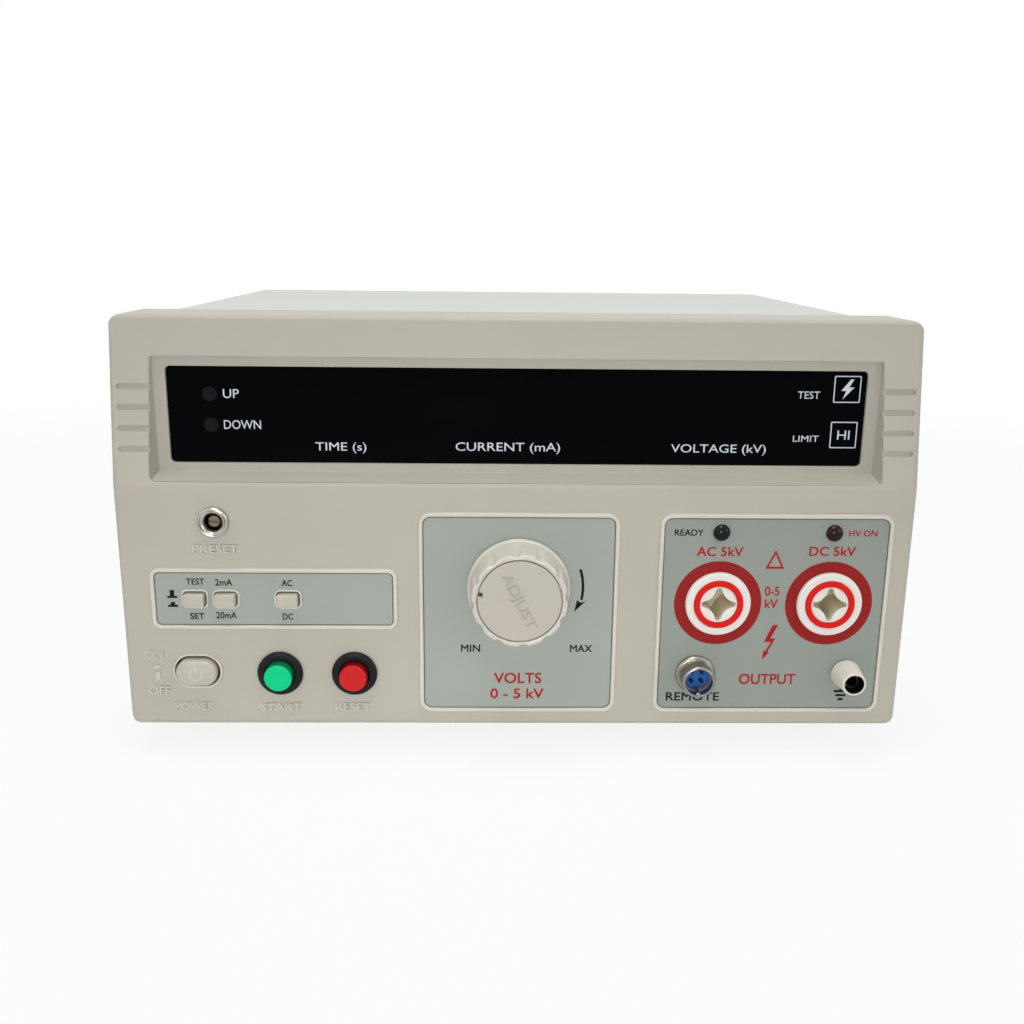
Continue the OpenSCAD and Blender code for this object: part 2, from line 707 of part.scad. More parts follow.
// Every case screw: point under its head and the turn that sends the shank the right way
side_screws = [for (s = [-1, 1], y = side_screw_ys)
  [[s * cover_w / 2, y, pan_z + flange_h / 2], [0, -s * 90, 0]]];
rear_screws = [for (s = [-1, 1], z = rear_screw_zs)
  [[s * cover_w / 2, rear_flange_y + 5, z], [0, -s * 90, 0]]];
pan_screws = [for (x = rear_pan_xs) [[x, rear_flange_y + 5, pan_z], [0, 0, 0]]];
plate_screws = [for (s = [-1, 1], z = post_zs) [[s * post_x, bezel_d, bezel_lift + z], [90, 0, 0]]];
bracket_screws = [for (s = [-1, 1], t = [-1, 1])
  [[core_x + s * (core_w / 2 + bracket_t / 2 + bracket_w / 2), core_y + t * bracket_y, pan_top + bracket_t],
    [180, 0, 0]]];
all_screws = concat(side_screws, rear_screws, pan_screws, plate_screws, bracket_screws);
module screw_holes() for (p = all_screws)
  translate(p[0]) rotate(p[1]) translate([0, 0, -1]) cylinder(d = screw_hole, h = screw_l + 2);
module case_screws() color([0.75, 0.75, 0.76]) place() for (p = all_screws)
  translate(p[0]) rotate(p[1]) difference() {
    union() {
      translate([0, 0, -head_h])
        cylinder(d = head_d, h = head_h);
      cylinder(d = screw_d, h = screw_l);
    }
    for (a = [0, 90])
      rotate(a)
        translate([0, 0, -head_h])
          cube([0.9, head_d * 0.6, head_h], center = true);
  }
module foot_bores(d, z0, l) for (s = [-1, 1], y = foot_ys)
  translate([s * foot_x, y, z0]) cylinder(d = d, h = l);
module rear_panel() color([0.83, 0.84, 0.82]) place() difference() {
  union() {
    translate([0, 0, (pan_top + cover_top - sheet_t - sheet_gap) / 2])
      run_y(rear_y - sheet_t, sheet_t)
        rounded_rect(2 * pan_half, cover_top - sheet_t - sheet_gap - pan_top, cover_r);
    for (s = [-1, 1])
      translate([s * (pan_half - sheet_t / 2), rear_y - flange_h / 2, (rear_lip_low + rear_lip_high) / 2])
        cube([sheet_t, flange_h, rear_lip_high - rear_lip_low], center = true);
    span([-rear_hem_half, rear_flange_y, pan_top], [rear_hem_half, rear_y - sheet_t, pan_top + sheet_t]);
  }
  translate([inlet_x, 0, inlet_z])
    run_y(rear_y - 5, 10)
      square([inlet_w - 4, inlet_h - 4], center = true);
  for (i = [0 : 9], z = [vent_low, vent_high])
    translate([-20 + i * 2 * vent_pitch, 0, z])
      run_y(rear_y - 5, 10)
        rotate(90)
          stadium(vent_h, vent_w + 1);
  screw_holes();
}
module top_cover() color([0.83, 0.84, 0.82]) place() difference() {
  run_y(bezel_d, case_d - bezel_d) difference() {
    intersection() {
      translate([0, cover_top / 2])
        rounded_rect(cover_w, cover_top, cover_r);
      translate([-cover_w, pan_z])
        square([2 * cover_w, cover_top]);
    }
    translate([0, cover_top / 2 - sheet_t])
      rounded_rect(cover_w - 2 * sheet_t, cover_top, cover_r - sheet_t / 2);
  }
  for (i = [0 : vent_count - 1], z = [vent_low, vent_high])
    translate([0, rear_flange_y - 10 - i * vent_pitch, z])
      rotate([0, -90, 0])
        linear_extrude(2 * cover_w, center = true)
          stadium(vent_h, vent_w);
  screw_holes();
}
module feet() color([0.10, 0.10, 0.11]) place() difference() {
  for (s = [-1, 1], y = foot_ys)
    translate([s * foot_x, y, 0])
      cylinder(d1 = foot_d, d2 = foot_top_d, h = pan_z);
  foot_bores(screw_hole, -1, pan_z + 2);
  foot_bores(head_d + 1.5, -1, pan_z - 2);
}
module foot_screws() color([0.75, 0.75, 0.76]) place() {
  foot_bores(head_d, pan_z - 3 - head_h, head_h);
  foot_bores(screw_d, pan_z - 3, screw_l);
}

// Digit blocks behind the pane: middle as a share of the window's half width, and width
digits = [[-0.51, 34], [-0.03, 52], [0.55, 68]];
module display_board() color([0.10, 0.32, 0.18]) place()
  span([-window_half - pane_lap - 6, display_y, bezel_lift + window_low - 1],
    [window_half + pane_lap + 6, display_y + board_t, bezel_lift + window_high + 1]);
module digit_modules() color([0.08, 0.08, 0.08]) place() for (d = digits)
  span([d[0] * window_half - d[1] / 2, digit_y, bezel_lift + window_low + digit_up],
    [d[0] * window_half + d[1] / 2, display_y, bezel_lift + window_high - digit_down]);
// Lamps behind the pane: x, and height as a share of the window's height
display_spots = [[spot_left - window_half, 0.71], [spot_left - window_half, 0.39],
  [window_half - spot_right, 0.81], [window_half - spot_right, 0.33]];
module display_lamps() color([0.75, 0.75, 0.72]) place() for (p = display_spots)
  rod(p[0], digit_y, bezel_lift + window_low + p[1] * (window_high - window_low), spot_d, digit_d);

module variac_base() color([0.70, 0.71, 0.72]) place()
  translate([voltage_label_x, 0, bezel_lift + knob_z])
  difference() {
    rod(0, bezel_d, 0, coil_d, base_t);
    rod(0, bezel_d - 1, 0, bush_d + 2 * thread_gap, base_t + 2);
  }
module variac_winding() color([0.55, 0.27, 0.10]) place()
  translate([voltage_label_x, 0, bezel_lift + knob_z])
  difference() {
    rod(0, coil_y, 0, coil_d, coil_l);
    rod(0, coil_y - 1, 0, coil_bore, coil_l + 2);
    difference() {
      rod(0, coil_y + coil_t, 0, coil_d - 2 * coil_t, coil_l - 2 * coil_t);
      rod(0, coil_y, 0, coil_bore + 2 * coil_t, coil_l);
    }
  }
module variac_core() color([0.35, 0.36, 0.38]) place()
  translate([voltage_label_x, 0, bezel_lift + knob_z])
  difference() {
    rod(0, coil_y + coil_t, 0, coil_d - 2 * coil_t, coil_l - 2 * coil_t);
    rod(0, coil_y, 0, coil_bore + 2 * coil_t, coil_l);
  }
module variac_bushing() color([0.78, 0.65, 0.32]) place()
  translate([voltage_label_x, 0, bezel_lift + knob_z])
  difference() {
    union() {
      rod(0, plate_y - 6, 0, bush_d, base_t + sheet_t + 6);
      rod(0, plate_y - 3, 0, bush_d + 6, 3);
      rod(0, coil_y, 0, bush_d + 6, 4);
    }
    rod(0, 0, 0, shaft_d + 2 * run_gap, track_y);
  }
module variac_shaft() color([0.72, 0.73, 0.75]) place()
  rod(voltage_label_x, -knob_out + cap_t + 2, bezel_lift + knob_z, shaft_d,
    shaft_end + knob_out - cap_t - 2);
module brush_arm() color([0.70, 0.71, 0.72]) place()
  translate([voltage_label_x, track_y + brush_h, bezel_lift + knob_z])
  difference() {
    union() {
      rod(0, 0, 0, 20, arm_t);
      span([-arm_w / 2, 0, -coil_d / 2 + 4], [arm_w / 2, arm_t, 0]);
    }
    rod(0, -1, 0, shaft_d + run_gap, arm_t + 2);
  }
module carbon_brush() color([0.12, 0.12, 0.13]) place()
  translate([voltage_label_x, track_y + brush_h / 2 + run_gap / 2, bezel_lift + knob_z - coil_d / 2 + 10])
    cube([brush_w, brush_h - run_gap, brush_w], center = true);
module knob() color([0.78, 0.76, 0.71]) place() panel(voltage_label_x, knob_z) difference() {
  turned([[shaft_d / 2 + run_gap / 2, knob_base], [skirt_d / 2, knob_base],
    [skirt_d / 2, knob_base + skirt_t],
    [grip_d / 2, knob_base + skirt_t], [grip_front_d / 2, knob_out - 1], [grip_front_d / 2 - 1, knob_out],
    [cap_d / 2 + cap_gap, knob_out], [cap_d / 2 + cap_gap, knob_out - cap_t],
    [shaft_d / 2 + run_gap / 2, knob_out - cap_t]]);
  for (i = [0 : flutes - 1])
    rotate(i * 360 / flutes)
      translate([grip_front_d / 2 + flute_r - flute_depth, 0, knob_base + skirt_t + flute_start])
        cylinder(r = flute_r, h = knob_h);
}
module knob_cap() color([0.80, 0.78, 0.73]) place() panel(voltage_label_x, knob_z) difference() {
  translate([0, 0, knob_out - cap_t])
    cylinder(d = cap_d, h = cap_t);
  rotate(170)
    translate([cap_d / 2, 0, knob_out])
      cube([2 * notch_w, notch_w, cap_t], center = true);
}

module transformer_core() color([0.30, 0.31, 0.33]) place()
  translate([core_x, core_y, pan_top]) difference() {
  translate([0, 0, core_h / 2])
    cube([core_w, core_stack, core_h], center = true);
  for (s = [-1, 1])
    translate([s * core_w / 4, 0, core_h / 2])
      cube([core_w / 6, core_stack + 2, core_h * 0.6], center = true);
}
module transformer_coil() color([0.72, 0.60, 0.30]) place() translate([core_x, core_y, pan_top + core_h / 2])
  difference() {
    cube([core_w * 2 / 3, core_stack + 2 * coil_over, core_h * 0.6], center = true);
    cube([core_w / 3, core_stack, core_h], center = true);
  }
module transformer_brackets() color([0.62, 0.63, 0.64]) place() difference() {
  for (s = [-1, 1])
    translate([core_x + s * core_w / 2, core_y, pan_top]) {
      translate([s * (bracket_t + bracket_w) / 2, 0, bracket_t / 2])
        cube([bracket_w + bracket_t, core_stack, bracket_t], center = true);
      translate([s * bracket_t / 2, 0, core_h * 0.4])
        cube([bracket_t, core_stack, core_h * 0.8], center = true);
    }
  screw_holes();
}
module control_board() color([0.10, 0.32, 0.18]) place()
  span([control_x[0], control_y[0], control_z], [control_x[1], control_y[1], control_z + board_t]);
// Parts on the control board: x, y, two sides and height; a single side is round
board_list = [[14, 20, 26, 22, 20], [14, 52, 18, 14, 15], [14, 74, 18, 14, 15], [56, 26, 22, 0, 34],
  [56, 56, 22, 0, 34], [43, 88, 34, 12, 5], [38, 116, 12, 34, 5], [60, 112, 16, 0, 24]];
module board_parts() color([0.13, 0.14, 0.17]) place() for (b = board_list)
  translate([control_x[0] + b[0], control_y[0] + b[1], control_z + board_t])
    if (b[3] == 0) cylinder(d = b[2], h = b[4]);
    else translate([0, 0, b[4] / 2]) cube([b[2], b[3], b[4]], center = true);
module rectifier_block() color([0.15, 0.16, 0.30]) place()
  translate([cover_w / 2 - rectifier_in - rectifier_w, bezel_d + rectifier_front, pan_top])
    cube([rectifier_w, rectifier_l, rectifier_h]);

// Body of a round push switch: bezel ring outside, barrel through the panel, block behind
module round_switch(x) panel(x, start_z) difference() {
  union() {
    turned([[0, 0], [ring_d / 2, 0], [ring_d / 2, ring_h - 0.8], [ring_d / 2 - 0.8, ring_h], [0, ring_h]]);
    translate([0, 0, -14])
      cylinder(d = barrel_d, h = 14);
    translate([0, 0, -21])
      cube([13, 13, 14], center = true);
  }
  translate([0, 0, -stem_y - start_travel - 0.6])
    cylinder(d = start_d + 2 * press_gap, h = 30);
  translate([0, 0, -20])
    cylinder(d = stem_d + 2 * run_gap, h = 20);
}
module round_button(x) panel(x, start_z) {
  turned([[0, -stem_y], [start_d / 2, -stem_y], [start_d / 2, start_out - 1.2],
    [start_d / 2 - 0.4, start_out - 0.4],
    [start_d / 2 - 1.2, start_out], [0, start_out]]);
  translate([0, 0, -stem_y - 10])
    cylinder(d = stem_d, h = 11);
}
module start_switch() color([0.06, 0.06, 0.07]) place() round_switch(start_x);
module reset_switch() color([0.06, 0.06, 0.07]) place() round_switch(reset_x);
module start_button() color([0.06, 0.80, 0.52]) place() round_button(start_x);
module reset_button() color([0.80, 0.16, 0.16]) place() round_button(reset_x);
module power_switch() color([0.06, 0.06, 0.07]) place() difference() {
  span([power_x - 8, stem_y + power_travel + 4, bezel_lift + power_z - 7],
    [power_x + 8, plate_y, bezel_lift + power_z + 7]);
  rod(power_x, 0, bezel_lift + power_z, stem_d + 2 * run_gap, 26);
}
module power_button() color([0.72, 0.70, 0.65]) place() panel(power_x, power_z) {
  translate([0, 0, -stem_y])
    linear_extrude(stem_y + power_out - 1)
      power_outline(0);
  translate([0, 0, power_out - 1])
    linear_extrude(1)
      power_outline(-0.8);
  translate([0, 0, -18])
    cylinder(d = stem_d, h = 18);
}
module selector_board() color([0.10, 0.32, 0.18]) place()
  span([selector_xs[0] - 15.5, selector_back, bezel_lift + selector_z - 8],
    [selector_xs[2] + 15.5, selector_back + board_t, bezel_lift + selector_z + 8]);
module selector_switches() color([0.06, 0.06, 0.07]) place() for (x = selector_xs) difference() {
  span([x - 4, selector_y, bezel_lift + selector_z - 4],
    [x + 4, selector_back, bezel_lift + selector_z + 4]);
  rod(x, 0, bezel_lift + selector_z, small_stem_d + 2 * run_gap, 17);
}
module selector_button(i) panel(selector_xs[i], selector_z) {
  translate([0, 0, -selector_y + selector_travel + 0.8])
    linear_extrude(selector_y - selector_travel - 0.8 + selector_out - 0.8)
      selector_outline(0);
  translate([0, 0, selector_out - 0.8])
    linear_extrude(0.8)
      selector_outline(-0.5);
  translate([0, 0, -14])
    cylinder(d = small_stem_d, h = 14);
}
module test_button() color([0.75, 0.73, 0.68]) place() selector_button(0);
module range_button() color([0.75, 0.73, 0.68]) place() selector_button(1);
module output_button() color([0.75, 0.73, 0.68]) place() selector_button(2);

// Ring nuts behind the panel: x, z, thread diameter
nuts = [[start_x, start_z, barrel_d], [reset_x, start_z, barrel_d], [preset_x, preset_z, ferrule_barrel],
  [socket_ac_x, socket_z, socket_barrel], [socket_dc_x, socket_z, socket_barrel],
  [connector_x, connector_z, connector_barrel], [ground_x, ground_z, stud_d]];
module panel_nuts() color([0.70, 0.68, 0.60]) place() for (n = nuts) panel(n[0], n[1]) difference() {
  translate([0, 0, -bezel_t - nut_t])
    cylinder(d = n[2] + nut_over, h = nut_t, $fn = 6);
  translate([0, 0, -bezel_t - nut_t - 1])
    cylinder(d = n[2] + 2 * thread_gap, h = nut_t + 2);
}

module preset_ferrule() color([0.85, 0.85, 0.87]) place() panel(preset_x, preset_z)
  turned([[ferrule_bore / 2, -10], [ferrule_barrel / 2, -10], [ferrule_barrel / 2, 0], [ferrule_d / 2, 0],
    [ferrule_d / 2, ferrule_h - 0.9], [ferrule_d / 2 - 0.9, ferrule_h],
    [ferrule_bore / 2 + ferrule_cone, ferrule_h], [ferrule_bore / 2, ferrule_h - 1.7 * ferrule_cone]]);
module preset_body() color([0.16, 0.30, 0.55]) place() panel(preset_x, preset_z) difference() {
  translate([0, 0, -20])
    cylinder(d = 15, h = 10);
  translate([0, 0, -18])
    cylinder(d = 4 + 2 * run_gap, h = 20);
}
module preset_shaft() color([0.80, 0.70, 0.40]) place() panel(preset_x, preset_z) difference() {
  union() {
    translate([0, 0, -9])
      cylinder(d = slot_head_d, h = 9 - slot_head_in);
    translate([0, 0, -17])
      cylinder(d = 4, h = 9);
  }
  translate([0, 0, -slot_head_in])
    cube([slot_head_d + 1, 0.9, 2], center = true);
}

module lamp(x) panel(x, lamp_z) {
  turned([[0, -8], [lamp_d / 2, -8], [lamp_d / 2, label_t], [0, label_t]]);
  translate([0, 0, -bezel_t - 1.2])
    cylinder(d = lamp_d + 1.6, h = 1.2);
  intersection() {
    translate([0, 0, label_t])
      cylinder(d = lamp_d + 1, h = lamp_out);
    translate([0, 0, label_t + lamp_out / 2 - lamp_d * lamp_d / 8 / lamp_out])
      sphere(r = lamp_d * lamp_d / 8 / lamp_out + lamp_out / 2);
  }
}
module safety_lamp() color([0.08, 0.09, 0.12]) place() lamp(socket_ac_x);
module danger_lamp() color([0.20, 0.03, 0.05]) place() lamp(socket_dc_x);
// The star's arms end in arcs that run on smoothly from its hollows
star_gap = star_off - star_half;
tip_r = (star_gap * star_gap + star_off * star_off - star_hollow * star_hollow)
  / (2 * (star_hollow - star_gap));
tip_at = star_half - tip_r;
tip_touch = [tip_at, 0] + [star_off - tip_at, star_off] * tip_r / (star_hollow + tip_r);
function spun(p, a) = [p[0] * cos(a) - p[1] * sin(a), p[0] * sin(a) + p[1] * cos(a)];
module star() {
  difference() {
    polygon([for (a = [0 : 90 : 270], s = [-1, 1]) spun([tip_touch[0], s * tip_touch[1]], a)]);
    for (a = [45 : 90 : 315])
      rotate(a)
        translate([star_off * sqrt(2), 0])
          circle(star_hollow);
  }
  for (a = [0 : 90 : 270])
    rotate(a)
      translate([tip_at, 0])
        circle(tip_r);
}
face_out = label_t + socket_h;
module output_socket(x) panel(x, socket_z) difference() {
  union() {
    turned([[0, label_t], [socket_d / 2, label_t], [socket_d / 2, face_out - 0.6],
      [socket_d / 2 - 0.6, face_out],
      [0, face_out]]);
    translate([0, 0, -socket_l])
      cylinder(d = socket_barrel, h = socket_l + 1);
  }
  translate([0, 0, face_out - bright_set])
    turned([[bright_bore / 2, 0], [bright_d / 2, 0], [bright_d / 2, 5], [bright_bore / 2, 5]]);
  translate([0, 0, -star_d])
    linear_extrude(star_d + 10)
      star();
  translate([0, 0, -socket_l - 1])
    cylinder(d = contact_d + 2 * thread_gap, h = socket_l);
}
module output_socket_ac() color([0.92, 0.91, 0.88]) place() output_socket(socket_ac_x);
module output_socket_dc() color([0.92, 0.91, 0.88]) place() output_socket(socket_dc_x);
module socket_rings() color([0.85, 0.10, 0.08]) place() for (x = [socket_ac_x, socket_dc_x])
  panel(x, socket_z) translate([0, 0, face_out - bright_set])
    turned([[bright_bore / 2 + label_gap, 0], [bright_d / 2 - label_gap, 0],
      [bright_d / 2 - label_gap, bright_set + bright_out],
      [bright_bore / 2 + label_gap, bright_set + bright_out]]);
module socket_contacts() color([0.80, 0.66, 0.30]) place() for (x = [socket_ac_x, socket_dc_x])
  panel(x, socket_z) difference() {
    translate([0, 0, -socket_l - 4])
      cylinder(d = contact_d, h = socket_l + 4 - star_d);
    translate([0, 0, -star_d - contact_l])
      cylinder(d = contact_bore, h = contact_l + 1);
  }

insert_out = 1.8;
pin_out = 6.5;
module connector_shell() color([0.80, 0.80, 0.82]) place() panel(connector_x, connector_z) {
  turned([[4.6, -14], [connector_barrel / 2, -14], [connector_barrel / 2, label_t],
    [connector_flange / 2, label_t],
    [connector_flange / 2, 1.6], [connector_flange / 2 - 0.8, 2.4], [connector_d / 2, 2.4],
    [connector_d / 2, connector_out - 0.5], [connector_d / 2 - 0.5, connector_out],
    [connector_bore / 2, connector_out], [connector_bore / 2, 1], [4.6, 1]]);
  translate([-0.7, -connector_bore / 2 - 0.3, insert_out + 0.5])
    cube([1.4, 1.3, connector_out - insert_out - 1]);
}
module pin_ring() for (a = [45 : 90 : 315]) rotate(a) translate([pin_circle, 0]) children();
module connector_insert() color([0.10, 0.28, 0.60]) place() panel(connector_x, connector_z) difference() {
  turned([[0, -13], [4.6 - thread_gap, -13], [4.6 - thread_gap, 1], [connector_bore / 2 - thread_gap, 1],
    [connector_bore / 2 - thread_gap, insert_out], [0, insert_out]]);
  pin_ring()
    translate([0, 0, -20])
      cylinder(d = pin_d + 2 * thread_gap, h = 30);
}
module connector_pins() color([0.85, 0.78, 0.55]) place() panel(connector_x, connector_z) pin_ring()
  translate([0, 0, -16])
    cylinder(d = pin_d, h = 16 + pin_out);
module ground_stud() color([0.80, 0.72, 0.45]) place() panel(ground_x, ground_z) difference() {
  translate([0, 0, -14])
    cylinder(d = stud_d, h = 14 + stud_out);
  translate([0, 0, stud_out - 10])
    cylinder(d = contact_bore, h = 12);
}
module ground_washer() color([0.80, 0.80, 0.82]) place() panel(ground_x, ground_z)
  turned([[stud_d / 2 + run_gap, label_t], [ground_d / 2 - 0.4, label_t],
    [ground_d / 2 - 0.4, label_t + washer_t],
    [stud_d / 2 + run_gap, label_t + washer_t]]);
module ground_cap() color([0.88, 0.86, 0.80]) place() panel(ground_x, ground_z)
  turned([[stud_d / 2 + run_gap, label_t + washer_t], [ground_d / 2, label_t + washer_t],
    [ground_front_d / 2 + 0.4, ground_out - 0.6], [ground_front_d / 2 - 0.2, ground_out],
    [ground_mouth / 2, ground_out], [ground_mouth / 2, 5], [stud_d / 2 + run_gap, 5]]);

plug_z = inlet_z + inlet_h / 2 - 5 - plug_h / 2;
drawer_z = inlet_z - inlet_h / 2 + 5 + drawer_h / 2;
module mains_inlet() color([0.07, 0.07, 0.08]) place() difference() {
  union() {
    translate([inlet_x, 0, inlet_z])
      run_y(rear_y, inlet_t)
        rounded_rect(inlet_w, inlet_h, 2.5);
    translate([inlet_x, 0, inlet_z])
      run_y(rear_y - inlet_d, inlet_d + 1)
        square([inlet_w - 4.4, inlet_h - 4.4], center = true);
  }
  translate([inlet_x, 0, plug_z])
    run_y(rear_y + inlet_t - plug_d, plug_d + 1)
      polygon([[-plug_w / 2, -plug_h / 2], [plug_w / 2, -plug_h / 2], [plug_w / 2, plug_h / 2 - 4],
        [plug_w / 2 - 4, plug_h / 2], [4 - plug_w / 2, plug_h / 2], [-plug_w / 2, plug_h / 2 - 4]]);
  translate([inlet_x, 0, drawer_z])
    run_y(rear_y + inlet_t - drawer_l - 1, drawer_l + 2)
      square([drawer_w + 2 * drawer_gap, drawer_h + 2 * drawer_gap], center = true);
  for (p = plug_pins)
    translate([inlet_x + p[0], rear_y - inlet_d, plug_z + p[1]])
      cube([2 + 2 * thread_gap, 60, 4 + 2 * thread_gap], center = true);
}
// Blades of the inlet: offset from the middle of the cavity
plug_pins = [[-7, -1.5], [7, -1.5], [0, 2.5]];
module inlet_pins() color([0.80, 0.80, 0.78]) place() for (p = plug_pins)
  translate([inlet_x + p[0] - 1, rear_y - inlet_d - 8, plug_z + p[1] - 2])
    cube([2, inlet_d + 8 - 2, 4]);
module fuse_drawer() color([0.10, 0.10, 0.11]) place() translate([inlet_x, 0, drawer_z]) {
  run_y(rear_y + inlet_t - drawer_l, drawer_l) difference() {
    square([drawer_w, drawer_h], center = true);
    translate([0, 1.5])
      square([drawer_w - 3, drawer_h - 1.5], center = true);
  }
  run_y(rear_y + inlet_t, drawer_t)
    rounded_rect(drawer_w + 3, drawer_h + 3, 1.2);
}

front_bezel();
display_window();
switch_label();
voltage_label();
output_label();
chassis();
rear_panel();
top_cover();
feet();
foot_screws();
case_screws();
display_board();
digit_modules();
display_lamps();
variac_base();
variac_core();
variac_winding();
variac_bushing();
transformer_core();
transformer_coil();
transformer_brackets();
control_board();
board_parts();
rectifier_block();
power_switch();
start_switch();
reset_switch();
selector_board();
selector_switches();
panel_nuts();
preset_ferrule();
preset_body();
safety_lamp();
danger_lamp();
output_socket_ac();
output_socket_dc();
socket_rings();
socket_contacts();
connector_shell();
connector_insert();
connector_pins();
ground_stud();
mains_inlet();
inlet_pins();
knob();
knob_cap();
variac_shaft();
brush_arm();
carbon_brush();
power_button();
start_button();
reset_button();
test_button();
range_button();
output_button();
preset_shaft();
ground_washer();
ground_cap();
fuse_drawer();
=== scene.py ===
"""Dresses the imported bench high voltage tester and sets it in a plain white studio.

Sizes on the front are millimetres: x from the middle of the bezel, z from its lower edge and out from the
panel towards the viewer. The frame gives the panel's place, and each piece is turned into metres as it is
made.
"""
from __future__ import annotations

import json
import logging
import math
from dataclasses import dataclass, field, replace
from enum import Enum
from typing import Callable, Iterable, Sequence, Union

import bmesh
import bpy
import numpy as np
from mathutils import Matrix, Vector

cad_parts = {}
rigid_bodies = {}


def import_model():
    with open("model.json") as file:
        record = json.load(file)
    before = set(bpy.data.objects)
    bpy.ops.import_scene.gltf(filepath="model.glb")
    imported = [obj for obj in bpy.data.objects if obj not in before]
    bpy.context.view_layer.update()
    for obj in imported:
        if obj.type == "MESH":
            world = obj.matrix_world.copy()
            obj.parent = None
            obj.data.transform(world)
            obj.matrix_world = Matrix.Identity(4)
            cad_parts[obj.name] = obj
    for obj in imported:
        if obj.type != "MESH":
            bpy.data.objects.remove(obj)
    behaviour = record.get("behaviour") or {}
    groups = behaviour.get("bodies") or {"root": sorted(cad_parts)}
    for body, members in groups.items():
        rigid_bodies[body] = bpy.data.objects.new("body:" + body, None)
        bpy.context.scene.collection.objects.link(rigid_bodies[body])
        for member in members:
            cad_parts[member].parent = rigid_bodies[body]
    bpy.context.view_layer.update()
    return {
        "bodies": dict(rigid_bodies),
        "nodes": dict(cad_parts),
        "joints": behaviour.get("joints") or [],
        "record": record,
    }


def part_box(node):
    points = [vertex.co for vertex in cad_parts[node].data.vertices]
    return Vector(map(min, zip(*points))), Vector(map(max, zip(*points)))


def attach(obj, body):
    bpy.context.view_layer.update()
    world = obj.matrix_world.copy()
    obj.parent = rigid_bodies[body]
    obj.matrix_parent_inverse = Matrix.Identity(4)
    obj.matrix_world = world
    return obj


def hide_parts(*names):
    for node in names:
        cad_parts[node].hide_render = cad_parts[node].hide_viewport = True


LOG = logging.getLogger("tester")
MM = 0.001
TURN = 2 * math.pi
Number = Union[float, "Wire"]
Triple = tuple[float, float, float]
Colour = Triple
Spot = tuple[float, float]
Sides = tuple[float, float, float, float]


def srgb(red: int, green: int, blue: int) -> Colour:
    """Linear colour of an 8 bit display colour.

    Args:
        red: red part, 0 to 255.
        green: green part.
        blue: blue part.

    Returns:
        Each part p as p / 12.92 where it is dark, and else ((p + 0.055) / 1.055) to the power of 2.4.
    """
    parts = np.array([red, green, blue]) / 255
    line = np.where(parts <= 0.04045, parts / 12.92, ((parts + 0.055) / 1.055) ** 2.4)
    return tuple(float(value) for value in line)


# Shader graphs


def operator(operation: str, swapped: bool = False) -> Callable[[Wire, Number], Wire]:
    """Method that adds one Math node.

    Args:
        operation: the node's operation.
        swapped: puts the other value first, for a number on the left.

    Returns:
        The method, which takes the other value.
    """
    def method(self: Wire, other: Number) -> Wire:
        """Result for this value and another."""
        first, second = (other, self) if swapped else (self, other)
        return self.graph.node("ShaderNodeMath", {"operation": operation}, {0: first, 1: second})

    return method


class Wire:
    """A shader value whose operators add Math nodes to its graph."""

    __add__ = operator("ADD")
    __radd__ = operator("ADD", True)
    __sub__ = operator("SUBTRACT")
    __rsub__ = operator("SUBTRACT", True)
    __mul__ = operator("MULTIPLY")
    __rmul__ = operator("MULTIPLY", True)
    angle_to = operator("ARCTAN2")
    larger = operator("MAXIMUM")

    def __init__(self, graph: Graph, socket: bpy.types.NodeSocket) -> None:
        """Keeps the socket and the graph that it belongs to."""
        self.graph = graph
        self.socket = socket

    def sine(self) -> Wire:
        """Sine of the value."""
        return self.graph.node("ShaderNodeMath", {"operation": "SINE"}, {0: self})

    def step(self, low: float, high: float) -> Wire:
        """Smooth step from 0 at low to 1 at high."""
        settings = {"interpolation_type": "SMOOTHSTEP"}
        return self.graph.node("ShaderNodeMapRange", settings, {0: self, 1: low, 2: high, 3: 0.0, 4: 1.0})


